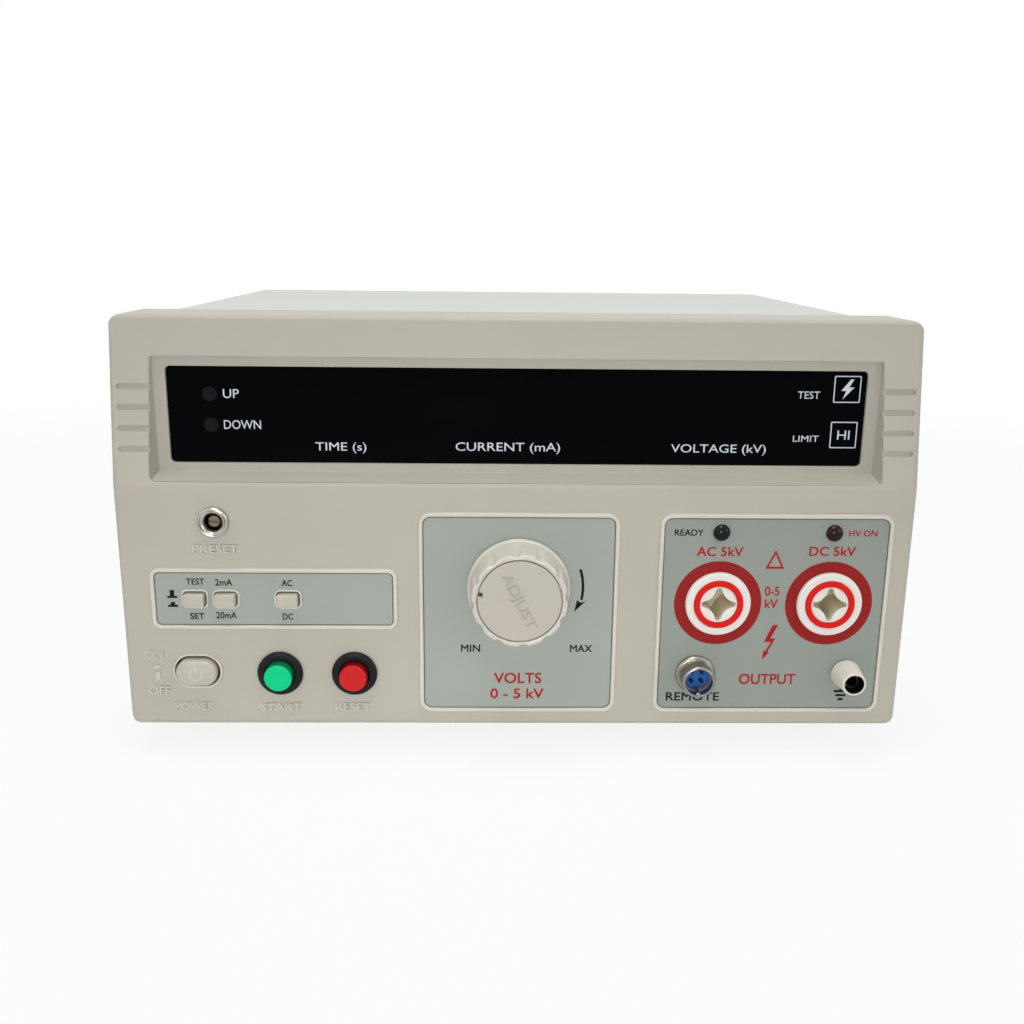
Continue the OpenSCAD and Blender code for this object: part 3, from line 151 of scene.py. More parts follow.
class Graph:
    """Node tree of one material or world."""

    def __init__(self, owner: Union[bpy.types.Material, bpy.types.World]) -> None:
        """Empties the owner's node tree.

        Args:
            owner: the material or world.
        """
        owner.use_nodes = True
        self.tree = owner.node_tree
        self.tree.nodes.clear()
        self._place: Wire | None = None

    def node(self, kind: str, settings: dict, inputs: dict, output: Union[int, str] = 0) -> Wire:
        """Adds one node.

        Args:
            kind: the node's type.
            settings: attributes that are set first.
            inputs: values or wires by socket name or number.
            output: the socket that is handed back.

        Returns:
            The wrapped output socket.
        """
        made = self.tree.nodes.new(kind)
        for key, value in settings.items():
            setattr(made, key, value)
        for key, value in inputs.items():
            if isinstance(value, Wire):
                self.tree.links.new(value.socket, made.inputs[key])
            elif isinstance(value, tuple) and len(value) == 3 and made.inputs[key].type == "RGBA":
                made.inputs[key].default_value = (*value, 1.0)
            else:
                made.inputs[key].default_value = value
        return Wire(self, made.outputs[output])

    def place(self) -> Wire:
        """Object coordinates, from one node for the whole graph.

        Returns:
            The coordinates in metres.
        """
        if self._place is None:
            self._place = self.node("ShaderNodeTexCoord", {}, {}, "Object")
        return self._place

    def part(self, axis: str) -> Wire:
        """One of the object coordinates, X, Y or Z, in metres."""
        return self.node("ShaderNodeSeparateXYZ", {}, {0: self.place()}, axis)

    def noise(self, size: float, detail: float = 2.0, stretch: Triple = (1, 1, 1)) -> Wire:
        """Noise between 0 and 1.

        Args:
            size: length of one swell in millimetres.
            detail: octaves of the noise.
            stretch: how much longer the swells are along each axis.

        Returns:
            The noise value.
        """
        scale = tuple(1 / (size * MM * longer) for longer in stretch)
        spot = self.node("ShaderNodeVectorMath", {"operation": "MULTIPLY"}, {0: self.place(), 1: scale})
        return self.node("ShaderNodeTexNoise", {}, {"Vector": spot, "Scale": 1.0, "Detail": detail})

    def mix(self, factor: Number, first: Union[Colour, Wire], second: Union[Colour, Wire]) -> Wire:
        """Blend of two colours by a factor."""
        return self.node("ShaderNodeMix", {"data_type": "RGBA"}, {0: factor, 6: first, 7: second}, 2)

    def shade(self, colour: Union[Colour, Wire], factor: Wire) -> Wire:
        """Colour times a value."""
        return self.node("ShaderNodeVectorMath", {"operation": "SCALE"}, {0: colour, "Scale": factor})

    def bump(self, height: Wire, depth: float) -> Wire:
        """Normal bent by a height that is depth millimetres at 1."""
        return self.node("ShaderNodeBump", {}, {"Strength": 1.0, "Distance": depth * MM, "Height": height})

    def surface(self, shader: Wire, kind: str = "ShaderNodeOutputMaterial") -> None:
        """Joins a shader to an output node of the named type."""
        out = self.tree.nodes.new(kind)
        self.tree.links.new(shader.socket, out.inputs["Surface"])


# Finishes


@dataclass(frozen=True)
class Finish:
    """Moulded, painted or plated surface: a base colour with slow mottling, fine grain and a low relief."""

    name: str
    slot: str
    colour: Colour
    rough: float = 0.5
    metal: float = 0.0
    specular: float = 0.5
    mottle: float = 0.05
    mottle_size: float = 28.0
    grain: float = 0.05
    grain_size: float = 0.35
    rough_swing: float = 0.12
    relief: float = 0.012
    relief_size: float = 0.45
    stretch: Triple = (1.0, 1.0, 1.0)

    def tint(self, graph: Graph) -> Union[Colour, Wire]:
        """Base colour before mottling and grain."""
        return self.colour

    def height(self, graph: Graph) -> Wire:
        """Relief between 0 and 1."""
        return graph.noise(self.relief_size, 2.0, self.stretch)

    def inputs(self, graph: Graph) -> dict:
        """Inputs of the shader.

        Args:
            graph: the material's graph.

        Returns:
            Values by socket name; the colour is the tint times one plus mottling and grain.
        """
        slow = graph.noise(self.mottle_size, 3.0)
        fine = graph.noise(self.grain_size, 2.0, self.stretch)
        bright = 1.0 + (slow - 0.5) * (2 * self.mottle) + (fine - 0.5) * (2 * self.grain)
        rough = self.rough + (slow - 0.5) * self.rough_swing + (fine - 0.5) * self.rough_swing
        return {
            "Base Color": graph.shade(self.tint(graph), bright),
            "Roughness": rough,
            "Metallic": self.metal,
            "Specular IOR Level": self.specular,
            "Normal": graph.bump(self.height(graph), self.relief),
        }

    def material(self) -> bpy.types.Material:
        """Builds the material once and finds it again by name.

        Returns:
            The material.
        """
        made = bpy.data.materials.get(self.name)
        if made is None:
            made = bpy.data.materials.new(self.name)
            graph = Graph(made)
            graph.surface(graph.node("ShaderNodeBsdfPrincipled", {}, self.inputs(graph)))
        return made


@dataclass(frozen=True)
class LensFinish(Finish):
    """Dyed clear plastic: full colour in front and a side colour on the flanks, partly dye and partly painted
    light.
    """

    side_colour: Colour = (0.0, 0.0, 0.0)
    facing: Spot = (0.35, 0.9)

    def tint(self, graph: Graph) -> Wire:
        """Colour by the way the surface faces, which paints light on the flanks.

        Args:
            graph: the material's graph.

        Returns:
            The side colour on the sides and the full one where the normal points forward.
        """
        normal = graph.node("ShaderNodeTexCoord", {}, {}, "Normal")
        forward = graph.node("ShaderNodeSeparateXYZ", {}, {0: normal}, "Y") * -1.0
        return graph.mix(forward.step(*self.facing), self.side_colour, self.colour)


@dataclass(frozen=True)
class DepthFinish(Finish):
    """Surface whose colour changes with the distance from the panel; it paints light on raised rims and in a
    socket's mouth.
    """

    other: Colour = (0.0, 0.0, 0.0)
    start: float = 0.0
    end: float = 1.0
    panel_y: float = -0.1235

    def tint(self, graph: Graph) -> Wire:
        """Colour by the distance from the panel.

        Args:
            graph: the material's graph.

        Returns:
            The own colour at the start distance in millimetres, the other one at the end distance.
        """
        out = (self.panel_y - graph.part("Y")) * (1 / MM)
        share = graph.node("ShaderNodeMapRange", {}, {0: out, 1: self.start, 2: self.end, 3: 0.0, 4: 1.0})
        return graph.mix(share, self.colour, self.other)


@dataclass(frozen=True)
class RidgedFinish(Finish):
    """Surface of raised ridges with darker joints between them."""

    joint: float = 0.5

    def ridges(self, graph: Graph) -> Wire:
        """Ridges between 0 and 1, which each kind makes for itself."""
        raise NotImplementedError

    def tint(self, graph: Graph) -> Wire:
        """Darker in the joints."""
        dark = tuple(self.joint * value for value in self.colour)
        return graph.mix(self.ridges(graph), dark, self.colour)

    def height(self, graph: Graph) -> Wire:
        """The ridges stand up."""
        return self.ridges(graph)


@dataclass(frozen=True)
class WindingFinish(RidgedFinish):
    """Enamelled wire: fine ridges round an axis that runs front to back."""

    centre: Spot = (0.0, 0.0)
    turns: int = 240

    def ridges(self, graph: Graph) -> Wire:
        """Ridges of the wire.

        Args:
            graph: the material's graph.

        Returns:
            Half of one plus the sine of the turn count times the angle about the axis.
        """
        across = graph.part("X") - self.centre[0]
        up = graph.part("Z") - self.centre[1]
        return (up.angle_to(across) * float(self.turns)).sine() * 0.5 + 0.5


@dataclass(frozen=True)
class LayerFinish(RidgedFinish):
    """Stacked sheet or wrapped tape: stripes along one axis."""

    axis: str = "Y"
    pitch: float = 0.6

    def ridges(self, graph: Graph) -> Wire:
        """Half of one plus the sine of the place along the axis over the pitch."""
        return (graph.part(self.axis) * (TURN / (self.pitch * MM))).sine() * 0.5 + 0.5


@dataclass(frozen=True)
class BoardFinish(Finish):
    """Circuit board: solder resist with lighter tracks and bright pads."""

    track: Colour = (0.05, 0.22, 0.09)
    pad: Colour = (0.62, 0.60, 0.55)
    cells: float = 220.0
    track_edge: Spot = (0.46, 0.52)
    pad_edge: Spot = (0.1, 0.14)

    def tint(self, graph: Graph) -> Wire:
        """Colour of resist, tracks and pads.

        Args:
            graph: the material's graph.

        Returns:
            The resist, with tracks far from the points of square cells and a pad on each point.
        """
        metric = {"distance": "CHEBYCHEV", "feature": "F1"}
        spots = graph.node("ShaderNodeVectorMath", {"operation": "SCALE"},
                           {0: graph.place(), "Scale": self.cells})
        cell = graph.node("ShaderNodeTexVoronoi", metric, {"Vector": spots, "Scale": 1.0}, "Distance")
        resist = graph.mix(cell.step(*self.track_edge), self.colour, self.track)
        return graph.mix(1.0 - cell.step(*self.pad_edge), resist, self.pad)


@dataclass(frozen=True)
class PaneFinish(Finish):
    """Tinted acrylic: almost black, smooth, with faint wiped smears that change the gloss."""

    smear_size: float = 18.0
    smear_stretch: Triple = (3.0, 1.0, 1.0)
    smear_edge: Spot = (0.35, 0.75)
    dust_size: float = 0.6
    dust_edge: Spot = (0.72, 0.86)

    def inputs(self, graph: Graph) -> dict:
        """Inputs of the shader.

        Args:
            graph: the material's graph.

        Returns:
            Values by socket name; smears are stretched noise and dust is the peaks of a fine one.
        """
        smear = graph.noise(self.smear_size, 4.0, self.smear_stretch)
        dust = graph.noise(self.dust_size, 1.0).step(*self.dust_edge)
        return {
            "Base Color": graph.shade(self.colour, 0.8 + smear * 0.4 + dust * 0.6),
            "Roughness": self.rough + smear.step(*self.smear_edge) * 0.1 + dust * 0.1,
            "Specular IOR Level": self.specular,
        }


class Finishes(Enum):
    """Every finish of the tester."""

    # painted highlight: parts of the moulding that stand 0.6 mm or more out of the panel, such as rims and
    # collars, are lighter
    BEZEL = DepthFinish("bezel_plastic", "bezel", srgb(185, 181, 169), 0.52, specular=0.35, relief=0.01,
                        relief_size=0.35, other=srgb(212, 207, 196), start=0.15, end=0.6)
    # painted light: raised words and marks, moulded in the bezel's plastic, coloured lighter to stand for the
    # light on their relief
    RAISED_LIT = Finish("raised_plastic_painted_light", "bezel", srgb(203, 198, 188), 0.5, mottle=0.03)
    # painted shade: the cap's letters are the knob's plastic, coloured darker to stand for the shade on their
    # relief
    KNOB_RELIEF_SHADED = Finish("knob_relief_painted_shade", "knob", srgb(172, 166, 154), 0.45, mottle=0.05)
    NOTCH = Finish("notch_shade", "knob", srgb(88, 78, 66), 0.6, specular=0.1, grain=0.1)
    KNOB = Finish("knob_plastic", "knob", srgb(189, 184, 171), 0.34, specular=0.5, relief=0.005, mottle=0.03)
    # painted highlight: the grip is the cap's plastic, coloured lighter to stand for the light on its flank
    GRIP_LIT = Finish("grip_plastic_painted_light", "knob", srgb(207, 202, 191), 0.3, specular=0.6, relief=0.005, mottle=0.03)
    LABEL = Finish("label_film", "label", srgb(161, 168, 160), 0.44, specular=0.3, relief=0.003,
                   relief_size=0.2, grain=0.035)
    DARK_LABEL = Finish("output_film", "label", srgb(147, 154, 146), 0.44, specular=0.3, relief=0.003,
                        relief_size=0.2, grain=0.035)
    COVER = Finish("cover_enamel", "cover_paint", srgb(211, 213, 208), 0.6, specular=0.1, relief=0.02,
                   relief_size=1.1, mottle=0.02, grain=0.03)
    PANE = PaneFinish("window_acrylic", "window", srgb(4, 4, 6), 0.07, specular=0.03)
    BLACK_INK = Finish("black_ink", "label", srgb(20, 22, 24), 0.6, specular=0.1, relief=0.002, grain=0.1)
    # painted shadow: a dark line round each label, standing in for the shade in the gap at its rim
    EDGE_SHADOW = Finish("label_painted_shadow", "label", srgb(88, 88, 80), 0.7, specular=0.05, relief=0.002, grain=0.1)
    RED_INK = Finish("red_ink", "label", srgb(168, 30, 32), 0.6, specular=0.1, relief=0.002, grain=0.06)
    RING_INK = Finish("dark_red_ink", "label", srgb(148, 30, 28), 0.5, specular=0.15, relief=0.002,
                      grain=0.05)
    WHITE_INK = Finish("white_ink", "window", srgb(208, 216, 226), 0.5, relief=0.002, grain=0.05)
    LAMP_OFF = Finish("dark_spot", "window", srgb(15, 15, 17), 0.45, specular=0.08, relief=0.002)
    # partly the dye, partly painted shade: the caps' flanks take a darker side colour than their fronts
    GREEN = LensFinish("green_lens", "green", srgb(0, 206, 138), 0.36, specular=0.15, relief=0.003,
                       side_colour=srgb(0, 120, 70))
    RED = LensFinish("red_lens", "red", srgb(202, 33, 35), 0.36, specular=0.15, relief=0.003,
                     side_colour=srgb(118, 8, 12))
    BLACK = Finish("black_moulding", "black_plastic", srgb(19, 20, 24), 0.36, specular=0.18, relief=0.008)
    CHROME = Finish("bright_plate", "chrome", srgb(186, 183, 176), 0.17, 1.0, grain=0.02, relief=0.0015,
                    rough_swing=0.06, mottle=0.03)
    NICKEL = Finish("nickel_plate", "chrome", srgb(158, 153, 143), 0.22, 1.0, grain=0.03, relief=0.002,
                    rough_swing=0.1, mottle=0.06, mottle_size=6.0)
    # partly real, partly painted: a plated lining of the connector's bore, coloured warm brown as a painted
    # reflection
    SLEEVE = Finish("warm_nickel_painted_reflection", "chrome", srgb(198, 176, 150), 0.4, 0.35, grain=0.06, relief=0.003,
                    mottle=0.1, mottle_size=3.0)
    # painted shade: the plated pins are coloured dark blue-grey, standing in for the shade among them in the
    # insert
    PIN_SHADE = Finish("pin_plate_painted_shade", "contact", srgb(74, 82, 100), 0.4, 1.0, relief=0.002, grain=0.04)
    # painted light: the inner mouth takes a warmer cream than the face, standing in for the light and shade
    # inside the mouth
    SOCKET = DepthFinish("socket_plastic", "socket_white", srgb(240, 230, 206), 0.35, relief=0.003,
                         mottle=0.015, grain=0.02, other=srgb(232, 230, 223), start=0.6, end=2.0)
    BRIGHT_RING = Finish("bright_red_plastic", "bright_red", srgb(220, 24, 20), 0.35, specular=0.15,
                         relief=0.003, mottle=0.03)
    # painted sheen: the lamp domes' flanks take a lighter side colour than their fronts
    CLEAR_LAMP = LensFinish("dark_lamp", "lamp_clear", srgb(7, 8, 12), 0.04, specular=0.22, relief=0.001,
                            rough_swing=0.04, side_colour=srgb(26, 30, 38))
    RED_LAMP = LensFinish("dark_red_lamp", "lamp_red", srgb(30, 3, 7), 0.04, specular=0.22, relief=0.001,
                          rough_swing=0.04, side_colour=srgb(70, 14, 22))
    BLUE = Finish("blue_insert", "blue", srgb(36, 112, 205), 0.4, specular=0.3, relief=0.004)
    CONTACT = Finish("contact_plate", "contact", srgb(196, 182, 140), 0.25, 1.0, relief=0.002, grain=0.03)
    # painted shade: the ground stud is coloured near black, standing in for the shade inside the post's mouth
    STUD_SHADE = Finish("stud_painted_shade", "contact", srgb(40, 39, 38), 0.45, 1.0, relief=0.003)
    OFF_WHITE = Finish("post_plastic", "off_white", srgb(222, 219, 208), 0.45, relief=0.006, mottle=0.03)
    # painted shade: a black lining in the ground post's mouth, standing in for the shade in its bore
    MOUTH_SHADE = Finish("mouth_painted_shade", "black_plastic", srgb(12, 12, 13), 0.6, specular=0.1)
    BRASS = Finish("turned_brass", "brass", srgb(206, 176, 108), 0.3, 1.0, relief=0.003,
                   stretch=(1.0, 6.0, 1.0))
    # the slotted head's brass is darker than the turned brass, with a coarse mottle
    SLOT_HEAD = Finish("dark_mottled_brass", "brass", srgb(116, 107, 90), 0.42, 1.0, relief=0.004, mottle=0.12,
                       mottle_size=1.5)
    PLATED = Finish("zinc_plate", "plated_steel", srgb(176, 180, 182), 0.38, 1.0, mottle=0.12,
                    mottle_size=9.0, relief=0.004, stretch=(8.0, 1.0, 1.0))
    SCREW = Finish("screw_plate", "screw", srgb(190, 190, 190), 0.3, 1.0, mottle=0.08, mottle_size=3.0)
    RUBBER = Finish("foot_rubber", "rubber", srgb(36, 36, 37), 0.8, relief=0.03, relief_size=0.6, grain=0.12)
    BOARD = BoardFinish("circuit_board", "board", srgb(22, 88, 48), 0.35, relief=0.01)
    ALUMINIUM = Finish("cast_aluminium", "aluminium", srgb(186, 188, 190), 0.42, 1.0, relief=0.03,
                       relief_size=0.8)
    CORE = LayerFinish("laminations", "core_steel", srgb(86, 88, 92), 0.5, 0.6, relief=0.05, pitch=0.7)
    WINDING = WindingFinish("copper_wire", "winding", srgb(178, 104, 56), 0.3, 0.8, relief=0.25,
                            joint=0.35, centre=(0.0006, 0.0727))
    COIL = LayerFinish("wrapped_coil", "coil_wrap", srgb(206, 170, 78), 0.4, relief=0.06, axis="Z", pitch=3.2)
    EPOXY = Finish("potting", "epoxy", srgb(38, 44, 78), 0.25, relief=0.05, relief_size=6.0)
    SHAFT = Finish("ground_steel", "shaft", srgb(188, 188, 190), 0.22, 1.0, relief=0.002,
                   stretch=(1.0, 9.0, 1.0))
    CARBON = Finish("pressed_carbon", "carbon", srgb(40, 40, 42), 0.6, relief=0.02, grain=0.2)
    DIFFUSER = Finish("lamp_lens", "diffuser", srgb(190, 190, 184), 0.3, relief=0.004)
    TRIMMER = Finish("trimmer_body", "trimmer", srgb(34, 35, 40), 0.5, relief=0.004)


# Shapes


@dataclass
class Shape:
    """Points in millimetres on the panel, (x, up, out), and the faces between them."""

    points: np.ndarray
    faces: list[tuple[int, ...]]

    def turned(self, degrees: float) -> Shape:
        """The shape turned about the out axis.

        Args:
            degrees: the turn, anticlockwise seen from the front.

        Returns:
            The turned shape, with its new x at x cos a - up sin a and its new up at x sin a + up cos a.
        """
        cosine, sine = math.cos(math.radians(degrees)), math.sin(math.radians(degrees))
        spin = np.array([[cosine, -sine, 0], [sine, cosine, 0], [0, 0, 1]])
        return Shape(self.points @ spin.T, self.faces)

    def moved(self, across: float, up: float, out: float = 0.0) -> Shape:
        """The shape moved on the panel."""
        return Shape(self.points + np.array([across, up, out]), self.faces)

    @staticmethod
    def joined(shapes: Iterable[Shape]) -> Shape:
        """Several shapes as one.

        Args:
            shapes: the shapes.

        Returns:
            One shape with the points and faces of all.
        """
        points, faces, start = [], [], 0
        for shape in shapes:
            points.append(shape.points)
            faces.extend(tuple(corner + start for corner in face) for face in shape.faces)
            start += len(shape.points)
        return Shape(np.concatenate(points), faces)


def grid(points: np.ndarray, close_rows: bool = False) -> Shape:
    """Skin over a grid of points.

    Args:
        points: rows by columns by 3; each row runs round and closes on itself.
        close_rows: joins the last row to the first one.

    Returns:
        A shape of quads, whose faces look out where rows rise and columns run anticlockwise.
    """
    rows, columns = points.shape[:2]
    index = np.arange(rows * columns).reshape(rows, columns)
    beside = np.roll(index, -1, axis=1)
    if close_rows:
        quads = np.stack([index, beside, np.roll(beside, -1, axis=0), np.roll(index, -1, axis=0)], axis=-1)
    else:
        quads = np.stack([index[:-1], beside[:-1], beside[1:], index[1:]], axis=-1)
    return Shape(points.reshape(-1, 3), [tuple(quad) for quad in quads.reshape(-1, 4).tolist()])


def arc_profile(centre: Spot, radius: float, start: float, stop: float, steps: int) -> np.ndarray:
    """Points (r, out) on an arc: centre plus radius times cosine and sine of the angle in degrees."""
    angle = np.radians(np.linspace(start, stop, steps))
    return np.stack([centre[0] + radius * np.cos(angle), centre[1] + radius * np.sin(angle)], axis=-1)


def path(*stretches: Union[Sequence[float], np.ndarray]) -> np.ndarray:
    """Profile that strings single points and arcs together."""
    return np.concatenate([np.atleast_2d(np.asarray(part, dtype=float)) for part in stretches])


def arc_strip(there: float, back: float, start: float, stop: float, steps: int) -> np.ndarray:
    """Outline of a curved strip: along an arc of one radius and back along the other, in degrees."""
    first, second = (arc_profile((0, 0), radius, start, stop, steps) for radius in (there, back))
    return np.concatenate([first, second[::-1]])


def spun(radius: np.ndarray, out: np.ndarray, close: bool) -> Shape:
    """Skin over rows of radii at even angles.

    Args:
        radius: rows by columns, one row for each out distance.
        out: out distance of each row.
        close: joins the last row to the first one.

    Returns:
        The skin over x = r cos a, up = r sin a and out = the row's distance.
    """
    angle = np.linspace(0, TURN, radius.shape[1], endpoint=False)
    rise = np.broadcast_to(out[:, None], radius.shape)
    return grid(np.stack([radius * np.cos(angle), radius * np.sin(angle), rise], axis=-1), close)


def lathe(profile: np.ndarray, columns: int = 96, close: bool = False) -> Shape:
    """Body of revolution.

    Args:
        profile: (r, out) from the back, up the outside and in over the front.
        columns: steps round the axis.
        close: joins the profile's end to its start, for a body with a bore.

    Returns:
        The turned shape.
    """
    return spun(np.repeat(profile[:, :1], columns, axis=1), profile[:, 1], close)


def at_level(outline: np.ndarray, out: float) -> np.ndarray:
    """Points of an outline at one out distance."""
    return np.c_[outline, np.full(len(outline), out)]


def rounded_outline(width: float, height: float, radius: float, steps: int = 7) -> np.ndarray:
    """Rectangle with round corners.

    Args:
        width: side across.
        height: side upward.
        radius: corner radius, held just under half of each side.
        steps: points on each corner.

    Returns:
        Four quarter arcs, anticlockwise: a corner's centre plus radius times cosine and sine of the angle.
    """
    radius = min(radius, width / 2 - 1e-4, height / 2 - 1e-4)
    corner = np.array([[1, 1], [-1, 1], [-1, -1], [1, -1]]) * [width / 2 - radius, height / 2 - radius]
    angle = np.linspace(0, math.pi / 2, steps)[None, :] + np.arange(4)[:, None] * math.pi / 2
    arcs = np.stack([np.cos(angle), np.sin(angle)], axis=-1) * radius + corner[:, None, :]
    return arcs.reshape(-1, 2)


def push_cap(width: float, height: float, radius: float, foot: float, out: float, edge: float,
             crown: float) -> Shape:
    """Moulded key: a rounded rectangle carried up, in over a round edge and across a crowned front.

    Args:
        width: side across.
        height: side upward.
        radius: corner radius seen from the front.
        foot: out distance of the hidden lower end.
        out: out distance of the front.
        edge: radius of the front edge.
        crown: how much the middle stands above the edge.

    Returns:
        The closed key; row k is the outline inset by i(k) at height h(k).
    """
    turn = np.radians(np.linspace(0, 90, 6))
    inset = np.concatenate([[0.0], edge * (1 - np.cos(turn))])
    rise = np.concatenate([[foot], out - crown - edge + edge * np.sin(turn)])
    rows = [at_level(rounded_outline(width - 2 * i, height - 2 * i, max(radius - i, 0.15)), h)
            for i, h in zip(inset, rise)]
    last = rows[-1][:, :2]
    rows += [at_level(last * part, out - crown * part ** 2) for part in np.linspace(0.8, 0.0, 5)]
    rows.insert(0, at_level(np.zeros_like(last), foot))
    return grid(np.stack(rows))


def band(outer: np.ndarray, inner: np.ndarray, low: float, high: float) -> Shape:
    """Closed strip between two outlines of as many points each, low to high."""
    rows = [at_level(outer, low), at_level(outer, high), at_level(inner, high), at_level(inner, low)]
    return grid(np.stack(rows), True)


def lining(radius: float, low: float, high: float) -> Shape:
    """Thin sleeve that lines a bore, low to high, with a slanted lip."""
    inner = radius - 0.1
    return lathe(path((inner, low), (radius, low), (radius, high), (inner, high - 0.05)), close=True)


def circle(radius: float, columns: int = 96) -> np.ndarray:
    """Outline r cos a, r sin a, without the closing point."""
    return arc_profile((0, 0), radius, 0, 360, columns + 1)[:-1]


def plate(outline: np.ndarray, low: float, high: float) -> Shape:
    """Flat plate.

    Args:
        outline: its outline, anticlockwise.
        low: out distance of the back.
        high: out distance of the front.

    Returns:
        The closed plate: the outline at both distances and quads between them.
    """
    count = len(outline)
    points = np.concatenate([at_level(outline, low), at_level(outline, high)])
    here = np.arange(count)
    beside = np.roll(here, -1)
    sides = np.stack([here, beside, beside + count, here + count], axis=-1)
    faces = [tuple(side) for side in sides.tolist()]
    faces += [tuple(range(count - 1, -1, -1)), tuple(range(count, 2 * count))]
    return Shape(points, faces)


def bar(x_low: float, x_high: float, z_low: float, z_high: float, low: float, high: float) -> Shape:
    """Rectangular plate."""
    return plate(np.array([[x_low, z_low], [x_high, z_low], [x_high, z_high], [x_low, z_high]]), low, high)


@dataclass(frozen=True)
class Word:
    """A line of generic lettering: its middle, capital height, width to fill, turn and the pen's weight."""

    text: str
    x: float
    z: float
    height: float
    width: float
    degrees: float = 0.0
    weight: float = 0.022
    stack: float = 0.008
    narrowest: float = 0.72
    widest: float = 1.25

    def flat_points(self, text: str, extrude: float, bevel: float) -> tuple[np.ndarray, list]:
        """Mesh of a text in font units.

        Args:
            text: the letters.
            extrude: half of their thickness.
            bevel: slant of their edges.

        Returns:
            The points and the faces.
        """
        curve = bpy.data.curves.new("lettering", "FONT")
        curve.body = text
        curve.extrude = extrude
        curve.bevel_depth = bevel
        curve.bevel_resolution = 0
        curve.resolution_u = 3
        holder = bpy.data.objects.new("lettering", curve)
        bpy.context.scene.collection.objects.link(holder)
        bpy.context.view_layer.update()
        mesh = bpy.data.meshes.new_from_object(holder.evaluated_get(bpy.context.evaluated_depsgraph_get()))
        points = np.empty(len(mesh.vertices) * 3)
        mesh.vertices.foreach_get("co", points)
        faces = [tuple(face.vertices) for face in mesh.polygons]
        bpy.data.objects.remove(holder)
        bpy.data.curves.remove(curve)
        bpy.data.meshes.remove(mesh)
        return points.reshape(-1, 3), faces

    def shape(self, low: float, high: float, bevel: float = 0.0) -> Shape:
        """Solid letters.

        Args:
            low: out distance of the hidden side.
            high: out distance of the front.
            bevel: slant of the front edges in millimetres.

        Returns:
            Letters scaled to the capital height, drawn in or out to the width, struck four times for weight,
            each a little higher than the last, and centred on their place.
        """
        capital, _ = self.flat_points("H", 0.0, 0.0)
        scale = self.height / np.ptp(capital[:, 1])
        points, faces = self.flat_points(self.text, 1.0, bevel / scale)
        middle = (points.max(axis=0) + points.min(axis=0)) / 2
        middle[1] = (capital[:, 1].max() + capital[:, 1].min()) / 2
        points = points - middle
        natural = np.ptp(points[:, 0]) * scale
        squeeze = min(max(self.width / natural, self.narrowest), self.widest)
        depth = np.ptp(points[:, 2])
        points = points * [scale * squeeze, scale, (high - low) / depth] + [0, 0, (high + low) / 2]
        pen = self.weight * self.height
        nibs = ((-1, -1), (1, -1), (1, 1), (-1, 1))
        strokes = [Shape(points, faces).moved(pen * side, pen * rise, self.stack * number)
                   for number, (side, rise) in enumerate(nibs)]
        return Shape.joined(strokes).turned(self.degrees).moved(self.x, self.z)


# Workshop


